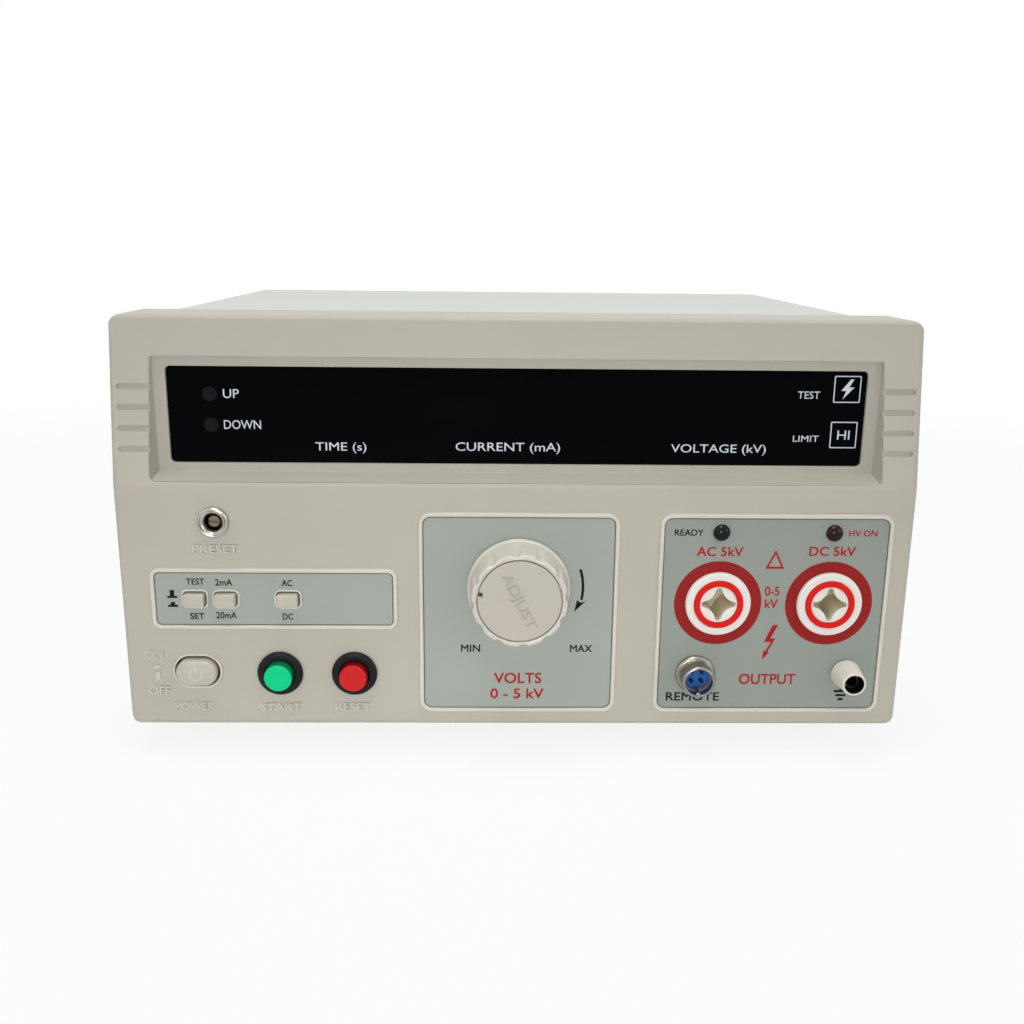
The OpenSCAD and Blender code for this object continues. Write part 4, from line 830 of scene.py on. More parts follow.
@dataclass
class Workshop:
    """Turns shapes and CAD nodes into finished pieces of the frame."""

    frame: dict
    merge: float = 2e-7
    node_merge: float = 2e-6
    flat_degrees: float = 0.4
    bevel_degrees: float = 38.0
    node_sharp: float = 30.0
    nose: float = field(init=False)
    lift: float = field(init=False)

    def __post_init__(self) -> None:
        """Finds the panel plane and the bezel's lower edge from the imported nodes."""
        self.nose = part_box("voltage_label")[1][1]
        self.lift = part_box("front_bezel")[0][2]

    def middle(self, node: str) -> Spot:
        """Middle of a node on the panel, x and z, in millimetres."""
        low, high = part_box(node)
        return (low[0] + high[0]) / 2 / MM, ((low[2] + high[2]) / 2 - self.lift) / MM

    def front(self, node: str) -> float:
        """How far a node's front stands out of the panel, in millimetres."""
        return (self.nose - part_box(node)[0][1]) / MM

    def piece(self, name: str, shape: Shape, finish: Finishes, body: str = "case",
              replaces: Sequence[str] = (), sharp: float = 40.0) -> bpy.types.Object:
        """Makes a new piece.

        Args:
            name: name of the object.
            shape: points on the panel and faces.
            finish: its finish, which also names the material slot.
            body: the CAD body that it rides on.
            replaces: CAD nodes that it stands for.
            sharp: edges steeper than this, in degrees, stay sharp.

        Returns:
            The object.
        """
        x, up, out = shape.points.T * MM
        mesh = bpy.data.meshes.new(name)
        mesh.from_pydata(np.stack([x, self.nose - out, self.lift + up], axis=-1), [], shape.faces)
        self.weld(mesh, self.merge)
        return self.hand_over(name, mesh, finish, body, replaces, sharp)

    def weld(self, mesh: bpy.types.Mesh, distance: float, flatten: bool = False) -> None:
        """Merges doubled points.

        Args:
            mesh: the mesh, which is changed.
            distance: points no further apart than this, in metres, become one.
            flatten: joins the pieces of flat faces; without it the faces are turned outwards.
        """
        shell = bmesh.new()
        shell.from_mesh(mesh)
        bmesh.ops.remove_doubles(shell, verts=shell.verts, dist=distance)
        if flatten:
            flat = math.radians(self.flat_degrees)
            bmesh.ops.dissolve_limit(shell, angle_limit=flat, verts=shell.verts, edges=shell.edges)
        else:
            bmesh.ops.recalc_face_normals(shell, faces=shell.faces)
        shell.to_mesh(mesh)
        shell.free()

    def hand_over(self, name: str, mesh: bpy.types.Mesh, finish: Finishes, body: str,
                  replaces: Sequence[str], sharp: float) -> bpy.types.Object:
        """Gives a mesh its shading, finish and body, and hides the CAD nodes that it replaces.

        Args:
            name: name of the object.
            mesh: its mesh.
            finish: its finish.
            body: the CAD body that it rides on.
            replaces: CAD nodes that it stands for.
            sharp: edges steeper than this, in degrees, stay sharp.

        Returns:
            The object.
        """
        mesh.shade_smooth()
        mesh.set_sharp_from_angle(angle=math.radians(sharp))
        made = bpy.data.objects.new(name, mesh)
        bpy.context.scene.collection.objects.link(made)
        mesh.materials.clear()
        mesh.materials.append(finish.value.material())
        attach(made, body)
        if replaces:
            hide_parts(*replaces)
        LOG.info("%s: %d faces on %s", name, len(mesh.polygons), body)
        return made

    def softened(self, node: str, finish: Finishes, width: float, body: str = "case",
                 segments: int = 2) -> bpy.types.Object:
        """Copy of a CAD node with its sharp edges rounded.

        Args:
            node: the CAD node, which the copy replaces.
            finish: its finish.
            width: width of the rounding in millimetres.
            body: the CAD body.
            segments: steps over the rounding.

        Returns:
            The object, with a live bevel on its sharp edges and shading weighted by the size of the faces.
        """
        mesh = self.frame["nodes"][node].data.copy()
        if "custom_normal" in mesh.attributes:
            mesh.attributes.remove(mesh.attributes["custom_normal"])
        self.weld(mesh, self.node_merge, True)
        made = self.hand_over(node + "_soft", mesh, finish, body, (node,), self.node_sharp)
        edge = made.modifiers.new("rounded_edges", "BEVEL")
        edge.limit_method = "ANGLE"
        edge.angle_limit = math.radians(self.bevel_degrees)
        edge.width = width * MM
        edge.segments = segments
        edge.use_clamp_overlap = False
        even = made.modifiers.new("even_shading", "WEIGHTED_NORMAL")
        even.keep_sharp = True
        return made

    def dress(self, finish: Finishes, *nodes: str) -> None:
        """Gives CAD nodes that keep their shape their finish.

        Args:
            finish: the finish.
            nodes: names of the nodes.
        """
        for node in nodes:
            mesh = self.frame["nodes"][node].data
            mesh.materials.clear()
            mesh.materials.append(finish.value.material())
            LOG.info("%s dressed as %s", node, finish.value.name)


# Sub-assemblies


@dataclass
class Bezel:
    """Moulded front with its raised lettering."""

    shop: Workshop
    root: float = -0.05
    emboss: float = 0.4
    slant: float = 0.08
    pen: float = 0.008
    words: tuple[Word, ...] = (
        Word("PRESET", -120.8, 76.3, 3.2, 18.7), Word("ON", -148.5, 31.3, 3.4, 7.3),
        Word("OFF", -147.2, 15.4, 3.5, 9.0), Word("POWER", -133.1, 8.5, 3.1, 16.1),
        Word("START", -97.7, 8.1, 3.2, 17.0), Word("RESET", -67.7, 8.2, 3.2, 14.5))
    key_marks: tuple[Sides, ...] = (
        (-149.6, -145.4, 25.1, 25.7), (-148.4, -146.6, 25.7, 26.8),
        (-149.2, -145.5, 19.7, 20.3), (-148.3, -146.4, 20.3, 23.6))

    def build(self) -> None:
        """Rounds the moulding's edges and sets the raised words and marks on it."""
        self.shop.softened("front_bezel", Finishes.BEZEL, 0.35, segments=3)
        low, high = self.root, self.emboss
        marks = [replace(word, weight=self.pen).shape(low, high, self.slant) for word in self.words]
        marks += [bar(*sides, low, high) for sides in self.key_marks]
        # the words and marks take the lighter finish: painted light on their relief
        self.shop.piece("bezel_words", Shape.joined(marks), Finishes.RAISED_LIT, sharp=25.0)


@dataclass
class Display:
    """Dark window with its printed words, boxes and lamp spots."""

    shop: Workshop
    print_t: float = 0.03
    sink: float = 0.01
    line: float = 0.42
    pen: float = 0.002
    words: tuple[Word, ...] = (
        Word("UP", -114.0, 137.1, 3.5, 6.3), Word("DOWN", -110.1, 124.7, 3.5, 14.7),
        Word("TIME (s)", -71.2, 116.1, 3.3, 24.0), Word("CURRENT (mA)", -4.1, 116.4, 3.4, 44.0),
        Word("VOLTAGE (kV)", 81.1, 116.3, 3.3, 41.0), Word("TEST", 116.2, 138.3, 2.9, 8.9),
        Word("LIMIT", 116.3, 120.6, 2.5, 11.0), Word("HI", 131.5, 122.2, 3.7, 5.0))
    boxes: tuple[Spot, ...] = ((131.5, 140.7), (131.5, 122.2))
    box_side: float = 10.8
    spots: tuple[Spot, ...] = ((-122.5, 136.9), (-122.5, 124.5))
    spot_r: float = 2.9
    bolt: tuple[Spot, ...] = (
        (1.2, 4.0), (2.5, 4.0), (0.7, 0.8), (2.8, 0.8), (-1.6, -4.0), (-0.4, -0.6), (-2.4, -0.6))

    def build(self) -> None:
        """Dresses the pane and prints on its front."""
        shop = self.shop
        shop.dress(Finishes.PANE, "display_window")
        front = shop.front("display_window")
        low, high = front - self.sink, front + self.print_t
        marks = [replace(word, weight=self.pen).shape(low, high) for word in self.words]
        inside = self.box_side - 2 * self.line
        outer = rounded_outline(self.box_side, self.box_side, 0.5)
        inner = rounded_outline(inside, inside, 0.25)
        marks += [band(outer, inner, low, high).moved(*box) for box in self.boxes]
        bolt = plate(np.array(self.bolt)[::-1], low, high).moved(*self.boxes[0])
        shop.piece("window_words", Shape.joined(marks + [bolt]), Finishes.WHITE_INK)
        lamps = [plate(circle(self.spot_r, 32), low, high - 0.01).moved(*spot) for spot in self.spots]
        shop.piece("window_spots", Shape.joined(lamps), Finishes.LAMP_OFF)


@dataclass
class Labels:
    """Three printed labels: sage film with black and red lettering, arrows and rings."""

    shop: Workshop
    print_t: float = 0.03
    sink: float = 0.01
    arrow_arc: Spot = (25.55, 26.65)
    arrow_turn: Spot = (17.5, -11.5)
    arrow_head: tuple[Spot, ...] = ((22.7, -10.4), (27.5, -5.6), (25.3, -6.4), (23.8, -5.2))
    ring_r: float = 17.9
    ring_inner: float = 13.0
    # width of the painted shadow line round each label
    shadow_width: float = 0.3
    corners: tuple[tuple[str, float], ...] = (
        ("switch_label", 2.0), ("voltage_label", 3.2), ("output_label", 3.2))
    switch_words: tuple[Word, ...] = (
        Word("TEST", -129.7, 62.7, 2.5, 7.2), Word("SET", -129.7, 48.0, 2.5, 5.6),
        Word("2mA", -118.3, 62.4, 2.6, 6.8), Word("20mA", -117.9, 48.4, 2.6, 8.2),
        Word("AC", -92.9, 62.2, 2.5, 4.2), Word("DC", -93.1, 47.9, 2.5, 4.2))
    volt_words: tuple[Word, ...] = (Word("MIN", -18.9, 34.4, 3.0, 7.8), Word("MAX", 26.6, 34.4, 3.0, 9.0))
    volt_red: tuple[Word, ...] = (
        Word("VOLTS", 0.6, 21.3, 4.4, 19.5), Word("0 - 5 kV", 0.4, 14.4, 4.2, 22.0))
    out_words: tuple[Word, ...] = (
        Word("READY", 68.8, 84.2, 2.5, 11.5), Word("REMOTE", 73.8, 13.2, 3.6, 22.2))
    out_red: tuple[Word, ...] = (
        Word("HV ON", 139.2, 84.2, 2.5, 11.4), Word("AC 5kV", 81.7, 76.3, 3.7, 18.6),
        Word("DC 5kV", 127.4, 76.6, 3.7, 18.8), Word("OUTPUT", 104.6, 21.1, 4.4, 23.5),
        Word("0-5", 104.0, 59.6, 3.7, 5.8), Word("kV", 104.0, 54.2, 3.7, 5.2))
    key_marks: tuple[Sides, ...] = (
        (-141.3, -137.3, 55.7, 56.6), (-140.2, -138.4, 56.6, 59.1),
        (-141.2, -137.2, 51.9, 52.8), (-140.1, -138.3, 52.8, 54.0))
    earth_sign: tuple[Sides, ...] = (
        (135.5, 136.5, 16.0, 18.6), (133.0, 139.0, 15.2, 16.2),
        (133.9, 138.1, 13.4, 14.4), (134.9, 137.1, 11.6, 12.6))
    triangle: Spot = (104.4, 71.8)
    triangle_size: Spot = (4.45, 5.3)
    triangle_inside: float = 0.66
    bolt_spot: Spot = (104.7, 37.3)
    bolt: tuple[Spot, ...] = (
        (0.6, 7.7), (2.9, 7.7), (0.0, 1.8), (2.1, 1.8), (-0.8, -4.0), (-0.2, -4.3), (-2.9, -7.7),
        (-2.5, -3.5), (-1.8, -3.8), (0.3, 0.2), (-2.6, 0.2))

    def strip(self, label: str) -> Spot:
        """Out distances between which the print on a label lies."""
        front = self.shop.front(label)
        return front - self.sink, front + self.print_t

    def edge(self, label: str, radius: float) -> Shape:
        """Painted shadow line round a label, where the film ends in front of its rim.

        Args:
            label: the label's node.
            radius: its corner radius.

        Returns:
            The painted shadow, a band between the label's outline and the same one drawn in by the shadow's
            width.
        """
        width, _, height = (np.array(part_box(label)[1]) - np.array(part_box(label)[0])) / MM
        outer = rounded_outline(width, height, radius)
        inner = rounded_outline(width - 2 * self.shadow_width, height - 2 * self.shadow_width, radius - self.shadow_width)
        return band(outer, inner, *self.strip(label)).moved(*self.shop.middle(label))

    def printed(self, name: str, label: str, finish: Finishes, words: Iterable[Word],
                outlines: Iterable[np.ndarray] = (), bars: Iterable[Sides] = ()) -> None:
        """Prints words, outlined shapes and bars on a label.

        Args:
            name: name of the piece.
            label: the label's node.
            finish: the ink.
            words: lettering.
            outlines: anticlockwise outlines of filled shapes.
            bars: sides of filled rectangles.
        """
        low, high = self.strip(label)
        marks = [word.shape(low, high) for word in words]
        marks += [plate(outline, low, high) for outline in outlines]
        marks += [bar(*sides, low, high) for sides in bars]
        self.shop.piece(name, Shape.joined(marks), finish)

    def build(self) -> None:
        """Dresses the films, paints a shadow line round each and prints words, arrow, rings, bolt, triangle
        and earth sign on them.
        """
        shop = self.shop
        shop.dress(Finishes.LABEL, "switch_label", "voltage_label")
        shop.dress(Finishes.DARK_LABEL, "output_label")
        edges = [self.edge(label, radius) for label, radius in self.corners]
        # painted shadow lines round the three labels
        shop.piece("label_edge_shadows", Shape.joined(edges), Finishes.EDGE_SHADOW)
        self.printed("switch_print", "switch_label", Finishes.BLACK_INK, self.switch_words,
                     bars=self.key_marks)
        knob = np.array(shop.middle("knob"))
        arrow = (arc_strip(*self.arrow_arc, *self.arrow_turn, 24) + knob, np.array(self.arrow_head) + knob)
        self.printed("voltage_print", "voltage_label", Finishes.BLACK_INK, self.volt_words, arrow)
        self.printed("voltage_red_print", "voltage_label", Finishes.RED_INK, self.volt_red)
        self.printed("output_print", "output_label", Finishes.BLACK_INK, self.out_words,
                     bars=self.earth_sign)
        low, high = self.strip("output_label")
        marks = [word.shape(low, high) for word in self.out_red]
        marks.append(plate(np.array(self.bolt)[::-1], low, high).moved(*self.bolt_spot))
        side = arc_profile((0, 0), 1, 90, 330, 3) * self.triangle_size
        marks.append(band(side, side * self.triangle_inside, low, high).moved(*self.triangle))
        shop.piece("output_red_print", Shape.joined(marks), Finishes.RED_INK)
        rings = [band(circle(self.ring_r), circle(self.ring_inner), low, high).moved(*shop.middle(node))
                 for node in ("output_socket_ac", "output_socket_dc")]
        shop.piece("socket_ring_print", Shape.joined(rings), Finishes.RING_INK)


@dataclass
class Knob:
    """Voltage knob: a fluted, tapered grip on a thin skirt, with a lettered cap disc."""

    shop: Workshop
    skirt_r: float = 20.85
    grip_r: float = 20.0
    front_r: float = 19.0
    base: float = 1.0
    out: float = 18.0
    seat_r: float = 16.9
    seat: float = 16.0
    bore_r: float = 4.1
    flutes: int = 12
    flute_r: float = 3.0
    flute_depth: float = 0.95
    flute_start: float = 4.0
    flute_run: float = 8.0
    edge: float = 0.9
    flute_turn: float = 5.0
    wall_start: float = 1.8
    cap_r: float = 16.5
    word: Word = Word("ADJUST", 0, 0, 3.9, 25.5, -64.0, 0.002)
    word_root: float = -0.05
    emboss: float = 0.18
    slant: float = 0.06
    notch_depth: float = 1.0
    notch_run: Spot = (0.1, 1.6)
    notch_half: float = 0.8
    notch_film: Spot = (-0.02, 0.05)
    notch_turn: float = -10.0

    def grip(self) -> Shape:
        """Fluted grip.

        Returns:
            The closed body: the lathe radius, less the depth of a round flute. At an angle d from a flute's
            middle the flute lies at c cos d - sqrt(f^2 - (c sin d)^2), where f is its radius and c the
            distance of its centre from the axis, and it fades out towards the skirt.
        """
        taper = np.linspace(0, 1, 14)[:, None]
        start = self.base + self.wall_start
        wall = np.concatenate([self.grip_r + (self.front_r - self.grip_r) * taper,
                               start + (self.out - self.edge - start) * taper], axis=1)
        base, skirt = self.base, self.skirt_r
        profile = path((self.bore_r, base), (skirt - 0.3, base), (skirt, base + 0.3), (skirt, base + 1.2),
                       (skirt - 0.35, base + 1.55), (self.grip_r + 0.15, base + 1.62), wall,
                       arc_profile((self.front_r - self.edge, self.out - self.edge), self.edge, 15, 90, 6),
                       (self.seat_r + 0.2, self.out), (self.seat_r, self.out - 0.2), (self.seat_r, self.seat),
                       (self.bore_r, self.seat))
        angle = np.linspace(0, TURN, self.flutes * 20, endpoint=False)
        pitch = TURN / self.flutes
        off = (angle + pitch / 2) % pitch - pitch / 2
        far = self.grip_r + self.flute_r - self.flute_depth
        root = np.maximum(self.flute_r ** 2 - (far * np.sin(off)) ** 2, 0)
        cut = np.where(root > 0, np.maximum(self.grip_r - (far * np.cos(off) - np.sqrt(root)), 0), 0)
        rise = np.clip((profile[:, 1] - self.base - self.flute_start) / self.flute_run, 0, 1)
        fade = np.where(profile[:, 0] > self.seat_r + 0.6, rise * rise * (3 - 2 * rise), 0)
        return spun(profile[:, :1] - fade[:, None] * cut[None, :], profile[:, 1], True)

    def build(self) -> None:
        """Makes the grip, rounds the cap disc, letters it and shades the floor of its notch."""
        shop = self.shop
        x, z = shop.middle("knob_cap")
        grip = self.grip().turned(self.flute_turn).moved(x, z)
        # the grip takes a lighter finish than the cap: painted highlight
        shop.piece("knob_grip", grip, Finishes.GRIP_LIT, "knob", ("knob",), 50.0)
        shop.softened("knob_cap", Finishes.KNOB, 0.25, "knob")
        face = shop.front("knob_cap")
        word = self.word.shape(face + self.word_root, face + self.emboss, self.slant)
        # letters coloured darker than the cap: painted shade on their relief
        shop.piece("knob_words", word.moved(x, z), Finishes.KNOB_RELIEF_SHADED, "knob", sharp=25.0)
        floor = face - self.notch_depth
        near, far = (run - self.cap_r for run in self.notch_run)
        low, high = (floor + film for film in self.notch_film)
        notch = bar(near, far, -self.notch_half, self.notch_half, low, high)
        shop.piece("knob_notch", notch.turned(self.notch_turn).moved(x, z), Finishes.NOTCH, "knob")
        shop.dress(Finishes.SHAFT, "variac_shaft")


@dataclass
class Buttons:
    """Push buttons: two dyed round caps in black bezels, three selector keys and the oval power key."""

    shop: Workshop
    cap_r: float = 5.75
    cap_out: float = 6.5
    cap_foot: float = -6.0
    cap_edge: float = 0.8
    key_lift: float = 0.9
    selector_size: Triple = (8.3, 5.2, 0.8)
    selector_edge: Spot = (0.55, 0.06)
    power_size: Triple = (16.6, 11.3, 5.3)
    power_edge: Spot = (1.4, 0.2)
    sign_ring: Spot = (2.75, 2.25)
    sign_bar: Sides = (-0.25, 0.25, 0.6, 3.4)
    sign_film: Spot = (-0.35, 0.02)
    sign_drop: float = 0.3

    def round_cap(self) -> Shape:
        """Round cap.

        Returns:
            The closed cap: a straight side, a round edge and a front dished by a shallow arc.
        """
        profile = path((0, self.cap_foot), (self.cap_r, self.cap_foot),
                       arc_profile((self.cap_r - self.cap_edge, self.cap_out - self.cap_edge),
                                   self.cap_edge, 0, 90, 7),
                       (3.4, self.cap_out - 0.06), (1.6, self.cap_out - 0.12), (0, self.cap_out - 0.14))
        return lathe(profile)

    def power_sign(self, low: float, high: float) -> Shape:
        """Open ring and a bar: the ring runs from 128 degrees round to 52 degrees."""
        ring = arc_strip(*self.sign_ring, 128, 412, 40)
        return Shape.joined([plate(ring, low, high), bar(*self.sign_bar, low, high)])

    def key(self, body: str, size: Triple, edge: Spot) -> float:
        """Makes a moulded key for a button.

        Args:
            body: the CAD body, after which node and piece are named.
            size: width, height and corner radius.
            edge: radius of the front edge, and crown.

        Returns:
            How far the key's front stands out.
        """
        node = body + "_button"
        face = self.shop.front(node) + self.key_lift
        key = push_cap(*size, self.cap_foot, face, *edge).moved(*self.shop.middle(node))
        self.shop.piece(body + "_key", key, Finishes.KNOB, body, (node,), 50.0)
        return face

    def build(self) -> None:
        """Makes the caps and keys and dresses what carries them."""
        shop = self.shop
        for body, finish in (("start", Finishes.GREEN), ("reset", Finishes.RED)):
            node = body + "_button"
            shop.piece(body + "_cap", self.round_cap().moved(*shop.middle(node)), finish, body, (node,))
            shop.softened(body + "_switch", Finishes.BLACK, 0.3)
        for body in ("test", "range", "output"):
            self.key(body, self.selector_size, self.selector_edge)
        face = self.key("power", self.power_size, self.power_edge)
        x, z = shop.middle("power_button")
        low, high = (face + film for film in self.sign_film)
        sign = self.power_sign(low, high).moved(x, z - self.sign_drop)
        # painted light: the moulded sign is drawn in the bezel finish, lighter than its key, standing for
        # light and shade on its relief
        shop.piece("power_sign", sign, Finishes.BEZEL, "power")
        shop.dress(Finishes.BLACK, "power_switch", "selector_switches")


@dataclass
class Preset:
    """Bright ferrule round a slotted trimmer shaft."""

    shop: Workshop
    bore_r: float = 3.6
    barrel_r: float = 4.5
    flange_r: float = 6.25
    groove_r: float = 5.05
    out: float = 2.0
    foot: float = -10.0
    seat: float = 0.02
    shoulder: float = 0.7
    groove_depth: float = 0.8
    cone_depth: float = 1.0

    def build(self) -> None:
        """Turns the ferrule with a round shoulder, a groove and a coned mouth, and dresses the shaft."""
        shop = self.shop
        x, z = shop.middle("preset_ferrule")
        shoulder = (self.flange_r - self.shoulder, self.out - self.shoulder)
        floor = self.out - self.groove_depth
        profile = path((self.bore_r, self.foot), (self.barrel_r, self.foot), (self.barrel_r, self.seat),
                       (self.flange_r, self.seat), arc_profile(shoulder, self.shoulder, 0, 110, 9),
                       (self.groove_r + 0.2, floor), (self.groove_r - 0.2, floor),
                       (self.groove_r - 0.3, self.out - 0.1), (self.groove_r - 0.5, self.out),
                       (self.groove_r - 0.7, self.out - 0.1), (self.bore_r, self.out - self.cone_depth))
        ferrule = lathe(profile, close=True).moved(x, z)
        shop.piece("preset_rim", ferrule, Finishes.CHROME, replaces=("preset_ferrule",))
        shop.softened("preset_shaft", Finishes.SLOT_HEAD, 0.12, "preset")
        shop.dress(Finishes.TRIMMER, "preset_body")


@dataclass
class Outputs:
    """Output sockets, lamps, control connector and ground post."""

    shop: Workshop
    lamp_r: float = 3.4
    lamp_out: float = 2.8
    lamp_barrel: float = 0.4
    lamp_foot: float = -8.0
    post_r: float = 6.15
    post_front_r: float = 4.85
    post_base: float = 1.2
    post_out: float = 13.0
    post_mouth_r: float = 4.0
    post_bore_r: float = 2.85
    post_floor: float = 5.0
    post_rows: int = 12
    ribs: int = 36
    rib_depth: float = 0.07
    rib_fade: float = 0.4
    shell_bore: float = 5.58
    sleeve_start: float = 1.85
    sleeve_end: float = 5.6

    def lamp(self) -> Shape:
        """Lamp lens.

        Returns:
            A barrel and a flattened dome: r is the radius times the sine, and out the dome's height times the
            cosine, of the angle from the axis.
        """
        turn = np.radians(np.linspace(90, 0, 12))
        rise = self.lamp_barrel + (self.lamp_out - self.lamp_barrel) * np.cos(turn)
        dome = np.stack([self.lamp_r * np.sin(turn), rise], axis=-1)
        return lathe(path((0, self.lamp_foot), (self.lamp_r, self.lamp_foot), dome), 64)

    def post(self) -> Shape:
        """Tapered post with shallow ribs: the radius is lowered by a cosine of the rib count on its side.

        Returns:
            The closed post with its mouth and bore.
        """
        length = np.linspace(0, 1, self.post_rows)[:, None]
        rise = self.post_out - self.post_base - 0.9
        wall = np.concatenate([self.post_r + (self.post_front_r - self.post_r) * length,
                               self.post_base + 0.3 + rise * length], axis=1)
        profile = path((self.post_bore_r, self.post_base), (self.post_r - 0.3, self.post_base), wall,
                       arc_profile((self.post_front_r - 0.6, self.post_out - 0.6), 0.6, 30, 90, 4),
                       (self.post_mouth_r + 0.15, self.post_out), (self.post_mouth_r, self.post_out - 0.2),
                       (self.post_mouth_r, self.post_floor), (self.post_bore_r, self.post_floor))
        angle = np.linspace(0, TURN, self.ribs * 6, endpoint=False)
        on_wall = np.zeros(len(profile))
        inside = np.linspace(self.rib_fade, math.pi - self.rib_fade, self.post_rows - 2)
        on_wall[3:self.post_rows + 1] = np.sin(inside)
        ripple = (1 - np.cos(self.ribs * angle))[None, :]
        return spun(profile[:, :1] - self.rib_depth * on_wall[:, None] * ripple, profile[:, 1], True)

    def build(self) -> None:
        """Rounds sockets and connector, makes lamps and post, lines the connector's bore as painted
        reflection and the post's mouth as painted shade.
        """
        shop = self.shop
        for side in ("ac", "dc"):
            shop.softened("output_socket_" + side, Finishes.SOCKET, 0.25)
        shop.softened("socket_rings", Finishes.BRIGHT_RING, 0.2)
        for node, finish in (("safety_lamp", Finishes.CLEAR_LAMP), ("danger_lamp", Finishes.RED_LAMP)):
            x, z = shop.middle(node)
            shop.piece(node + "_lens", self.lamp().moved(x, z), finish, replaces=(node,))
        shop.softened("connector_shell", Finishes.NICKEL, 0.18)
        shop.softened("connector_insert", Finishes.BLUE, 0.15)
        # lining of the connector's bore, coloured warm brown as a painted reflection
        sleeve = lining(self.shell_bore, self.sleeve_start, self.sleeve_end)
        sleeve = sleeve.moved(*shop.middle("connector_shell"))
        shop.piece("connector_sleeve", sleeve, Finishes.SLEEVE)
        x, z = shop.middle("ground_cap")
        post = self.post().moved(x, z)
        shop.piece("ground_post", post, Finishes.OFF_WHITE, "ground", ("ground_cap",), 35.0)
        # painted shade: a black lining in the post's mouth
        sleeve = lining(self.post_mouth_r - 0.02, self.post_floor + 0.05, self.post_out - 0.25)
        shop.piece("ground_mouth", sleeve.moved(x, z), Finishes.MOUTH_SHADE, "ground")
        shop.dress(Finishes.CHROME, "ground_washer")
        shop.dress(Finishes.CONTACT, "socket_contacts")
        # the stud is coloured near black as painted shade
        shop.dress(Finishes.STUD_SHADE, "ground_stud")
        # pins coloured dark as painted shade
        shop.dress(Finishes.PIN_SHADE, "connector_pins")


@dataclass
class Cabinet:
    """Sheet metal case, feet, screws and the rear inlet."""

    shop: Workshop

    def build(self) -> None:
        """Dresses the sheets and rounds the moulded pieces."""
        shop = self.shop
        shop.dress(Finishes.COVER, "top_cover", "rear_panel")
        shop.dress(Finishes.PLATED, "chassis", "transformer_brackets")
        shop.softened("feet", Finishes.RUBBER, 0.6)
        shop.softened("case_screws", Finishes.SCREW, 0.2)
        shop.dress(Finishes.SCREW, "foot_screws")
        shop.softened("mains_inlet", Finishes.BLACK, 0.3)
        shop.softened("fuse_drawer", Finishes.BLACK, 0.25, "drawer")
        shop.dress(Finishes.CHROME, "inlet_pins")


@dataclass
class Innards:
    """Boards, transformers and switch bodies inside the case."""

    shop: Workshop

    def build(self) -> None:
        """Gives every inner node its finish."""
        dress = self.shop.dress
        dress(Finishes.BOARD, "display_board", "control_board", "selector_board")
        dress(Finishes.BLACK, "digit_modules", "board_parts")
        dress(Finishes.DIFFUSER, "display_lamps")
        dress(Finishes.ALUMINIUM, "variac_base", "brush_arm")
        dress(Finishes.CORE, "variac_core", "transformer_core")
        dress(Finishes.WINDING, "variac_winding")
        dress(Finishes.COIL, "transformer_coil")
        dress(Finishes.BRASS, "variac_bushing", "panel_nuts")
        dress(Finishes.EPOXY, "rectifier_block")
        dress(Finishes.CARBON, "carbon_brush")


@dataclass(frozen=True)
class Light:
    """A square soft light: its place and aim, its side in metres, power, and beam width in degrees."""

    name: str
    spot: Triple
    aim: Triple
    side: float
    watts: float
    spread: float = 180.0

    def hang(self) -> None:
        """Adds the light, turned to the point that it looks at."""
        light = bpy.data.lights.new(self.name, "AREA")
        light.size = self.side
        light.energy = self.watts
        light.spread = math.radians(self.spread)
        holder = bpy.data.objects.new(self.name, light)
        look = (Vector(self.aim) - Vector(self.spot)).to_track_quat("-Z", "Y").to_matrix().to_4x4()
        holder.matrix_world = Matrix.Translation(self.spot) @ look
        bpy.context.scene.collection.objects.link(holder)


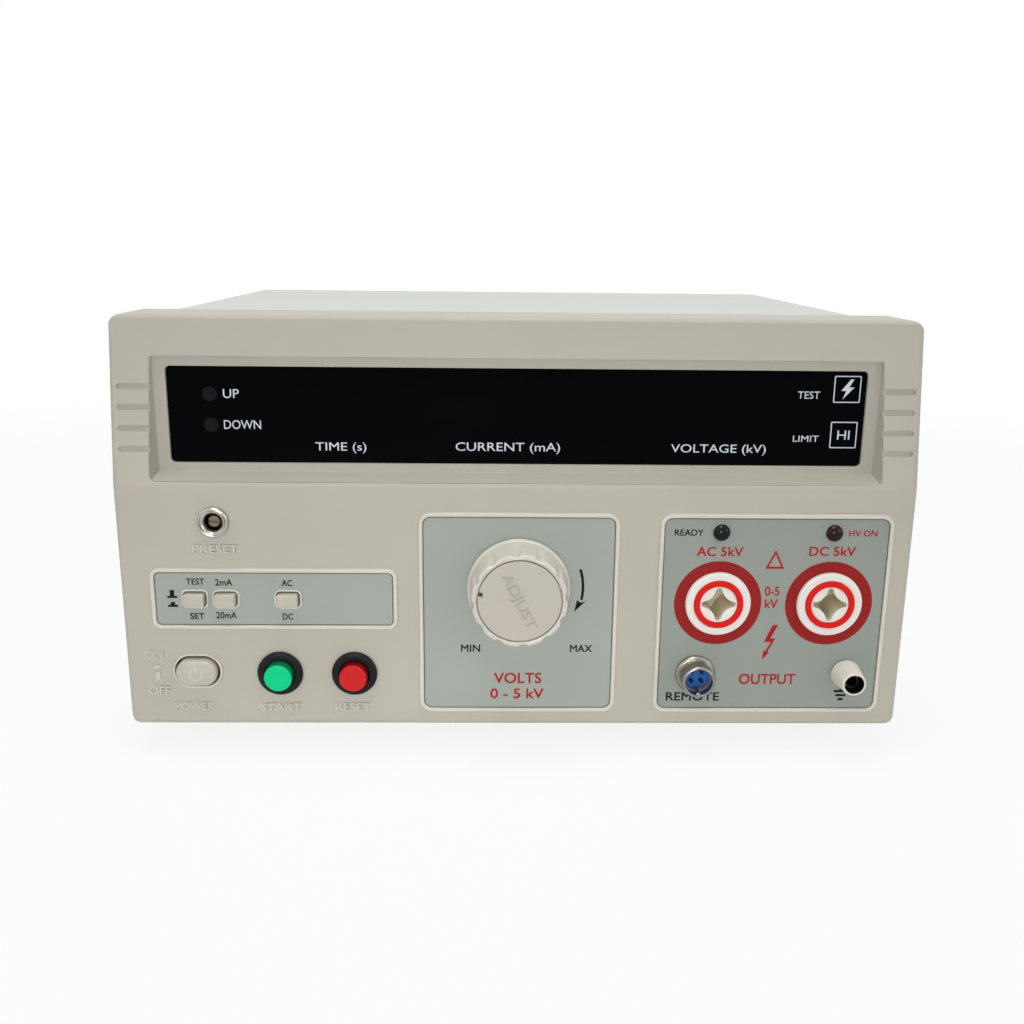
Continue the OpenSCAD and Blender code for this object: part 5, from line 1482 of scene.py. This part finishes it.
@dataclass
class Studio:
    """Camera at the photograph's place, soft light from above and a white floor."""

    eye: Triple = (-0.0103708, -0.5372549, 0.2094247)
    yaw: float = 0.0222
    pitch: float = 0.2524
    roll: float = -0.011
    focal_px: float = 1071.5346
    centre_px: Spot = (515.0658, 515.7072)
    frame_px: float = 1024.0
    sensor: float = 36.0
    ambient: float = 0.32
    floor_side: float = 14.0
    floor_lift: float = 0.87
    floor_near: float = 0.45
    floor_far: float = 1.1
    paper: float = 0.86
    paper_grain: float = 0.02
    paper_grain_size: float = 4.0
    lights: tuple[Light, ...] = (
        Light("key", (-0.25, -0.95, 1.9), (0.0, -0.1, 0.08), 0.9, 3.0),
        Light("top", (-0.1, -0.2, 1.9), (0.0, -0.1, 0.08), 0.9, 18.0),
        Light("left", (-1.5, -1.1, 0.6), (0.0, -0.1, 0.08), 0.8, 1.2),
        Light("right", (1.5, -1.1, 0.6), (0.0, -0.1, 0.08), 0.8, 4.0),
        Light("rear", (0.5, 1.6, 1.4), (0.0, 0.1, 0.1), 1.0, 1.2),
        Light("front", (-0.12, -1.1, 0.12), (-0.02, -0.12, -0.05), 0.45, 0.25, 30.0))

    def camera(self) -> None:
        """Sets the camera from its place, turns and focal length."""
        flat = math.cos(self.pitch)
        forward = Vector((math.sin(self.yaw) * flat, math.cos(self.yaw) * flat, -math.sin(self.pitch)))
        level = Vector((math.cos(self.yaw), -math.sin(self.yaw), 0))
        down = forward.cross(level)
        right = level * math.cos(self.roll) + down * math.sin(self.roll)
        up = level * math.sin(self.roll) - down * math.cos(self.roll)
        lens = bpy.data.cameras.new("camera")
        lens.sensor_width = self.sensor
        lens.lens = self.sensor * self.focal_px / self.frame_px
        lens.shift_x = (self.frame_px / 2 - self.centre_px[0]) / self.frame_px
        lens.shift_y = (self.centre_px[1] - self.frame_px / 2) / self.frame_px
        lens.clip_start = 0.01
        holder = bpy.data.objects.new("camera", lens)
        turn = Matrix((right, up, -forward)).transposed()
        holder.matrix_world = Matrix.Translation(self.eye) @ turn.to_4x4()
        bpy.context.scene.collection.objects.link(holder)
        bpy.context.scene.camera = holder

    def world(self) -> None:
        """White to the camera and in reflections, softer as a light."""
        bpy.context.scene.world = bpy.data.worlds.new("studio")
        graph = Graph(bpy.context.scene.world)
        camera = graph.node("ShaderNodeLightPath", {}, {}, "Is Camera Ray")
        rays = camera.socket.node.outputs
        seen = camera.larger(Wire(graph, rays["Is Glossy Ray"]))
        seen = seen.larger(Wire(graph, rays["Is Transmission Ray"]))
        reach = {"Value": seen, "To Min": self.ambient, "To Max": 1.0}
        strength = graph.node("ShaderNodeMapRange", {}, reach)
        white = {"Color": (1.0, 1.0, 1.0), "Strength": strength}
        graph.surface(graph.node("ShaderNodeBackground", {}, white), "ShaderNodeOutputWorld")

    def floor(self) -> None:
        """Pale floor that keeps the shadow and is lifted to white for the camera."""
        half = self.floor_side / 2
        mesh = bpy.data.meshes.new("floor")
        corners = [(-half, -half, 0), (half, -half, 0), (half, half, 0), (-half, half, 0)]
        mesh.from_pydata(corners, [], [(0, 1, 2, 3)])
        holder = bpy.data.objects.new("floor", mesh)
        bpy.context.scene.collection.objects.link(holder)
        pale = bpy.data.materials.new("floor_white")
        mesh.materials.append(pale)
        graph = Graph(pale)
        seen = graph.node("ShaderNodeLightPath", {}, {}, "Is Camera Ray")
        grain = (graph.noise(self.paper_grain_size) - 0.5) * self.paper_grain
        paper = graph.shade((self.paper,) * 3, 1.0 + grain)
        matt = graph.node("ShaderNodeBsdfDiffuse", {}, {"Color": paper})
        white = graph.node("ShaderNodeEmission", {}, {"Color": (1.0, 1.0, 1.0), "Strength": 1.0})
        away = graph.node("ShaderNodeVectorMath", {"operation": "LENGTH"}, {0: graph.place()}, "Value")
        share = seen * (self.floor_lift + away.step(self.floor_near, self.floor_far) * (1 - self.floor_lift))
        blend = graph.node("ShaderNodeMixShader", {}, {0: share, 1: matt, 2: white})
        graph.surface(blend)

    def build(self) -> None:
        """Sets camera, world, floor, lights and the colour view."""
        self.camera()
        self.world()
        self.floor()
        for light in self.lights:
            light.hang()
        bpy.context.scene.view_settings.view_transform = "Standard"


def main() -> None:
    """Loads the frame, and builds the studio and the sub-assemblies in order."""
    logging.basicConfig(level=logging.INFO, format="%(name)s %(message)s")
    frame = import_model()
    Studio().build()
    shop = Workshop(frame)
    for part in (Bezel, Display, Labels, Knob, Buttons, Preset, Outputs, Cabinet, Innards):
        part(shop).build()


if __name__ == "__main__":
    main()
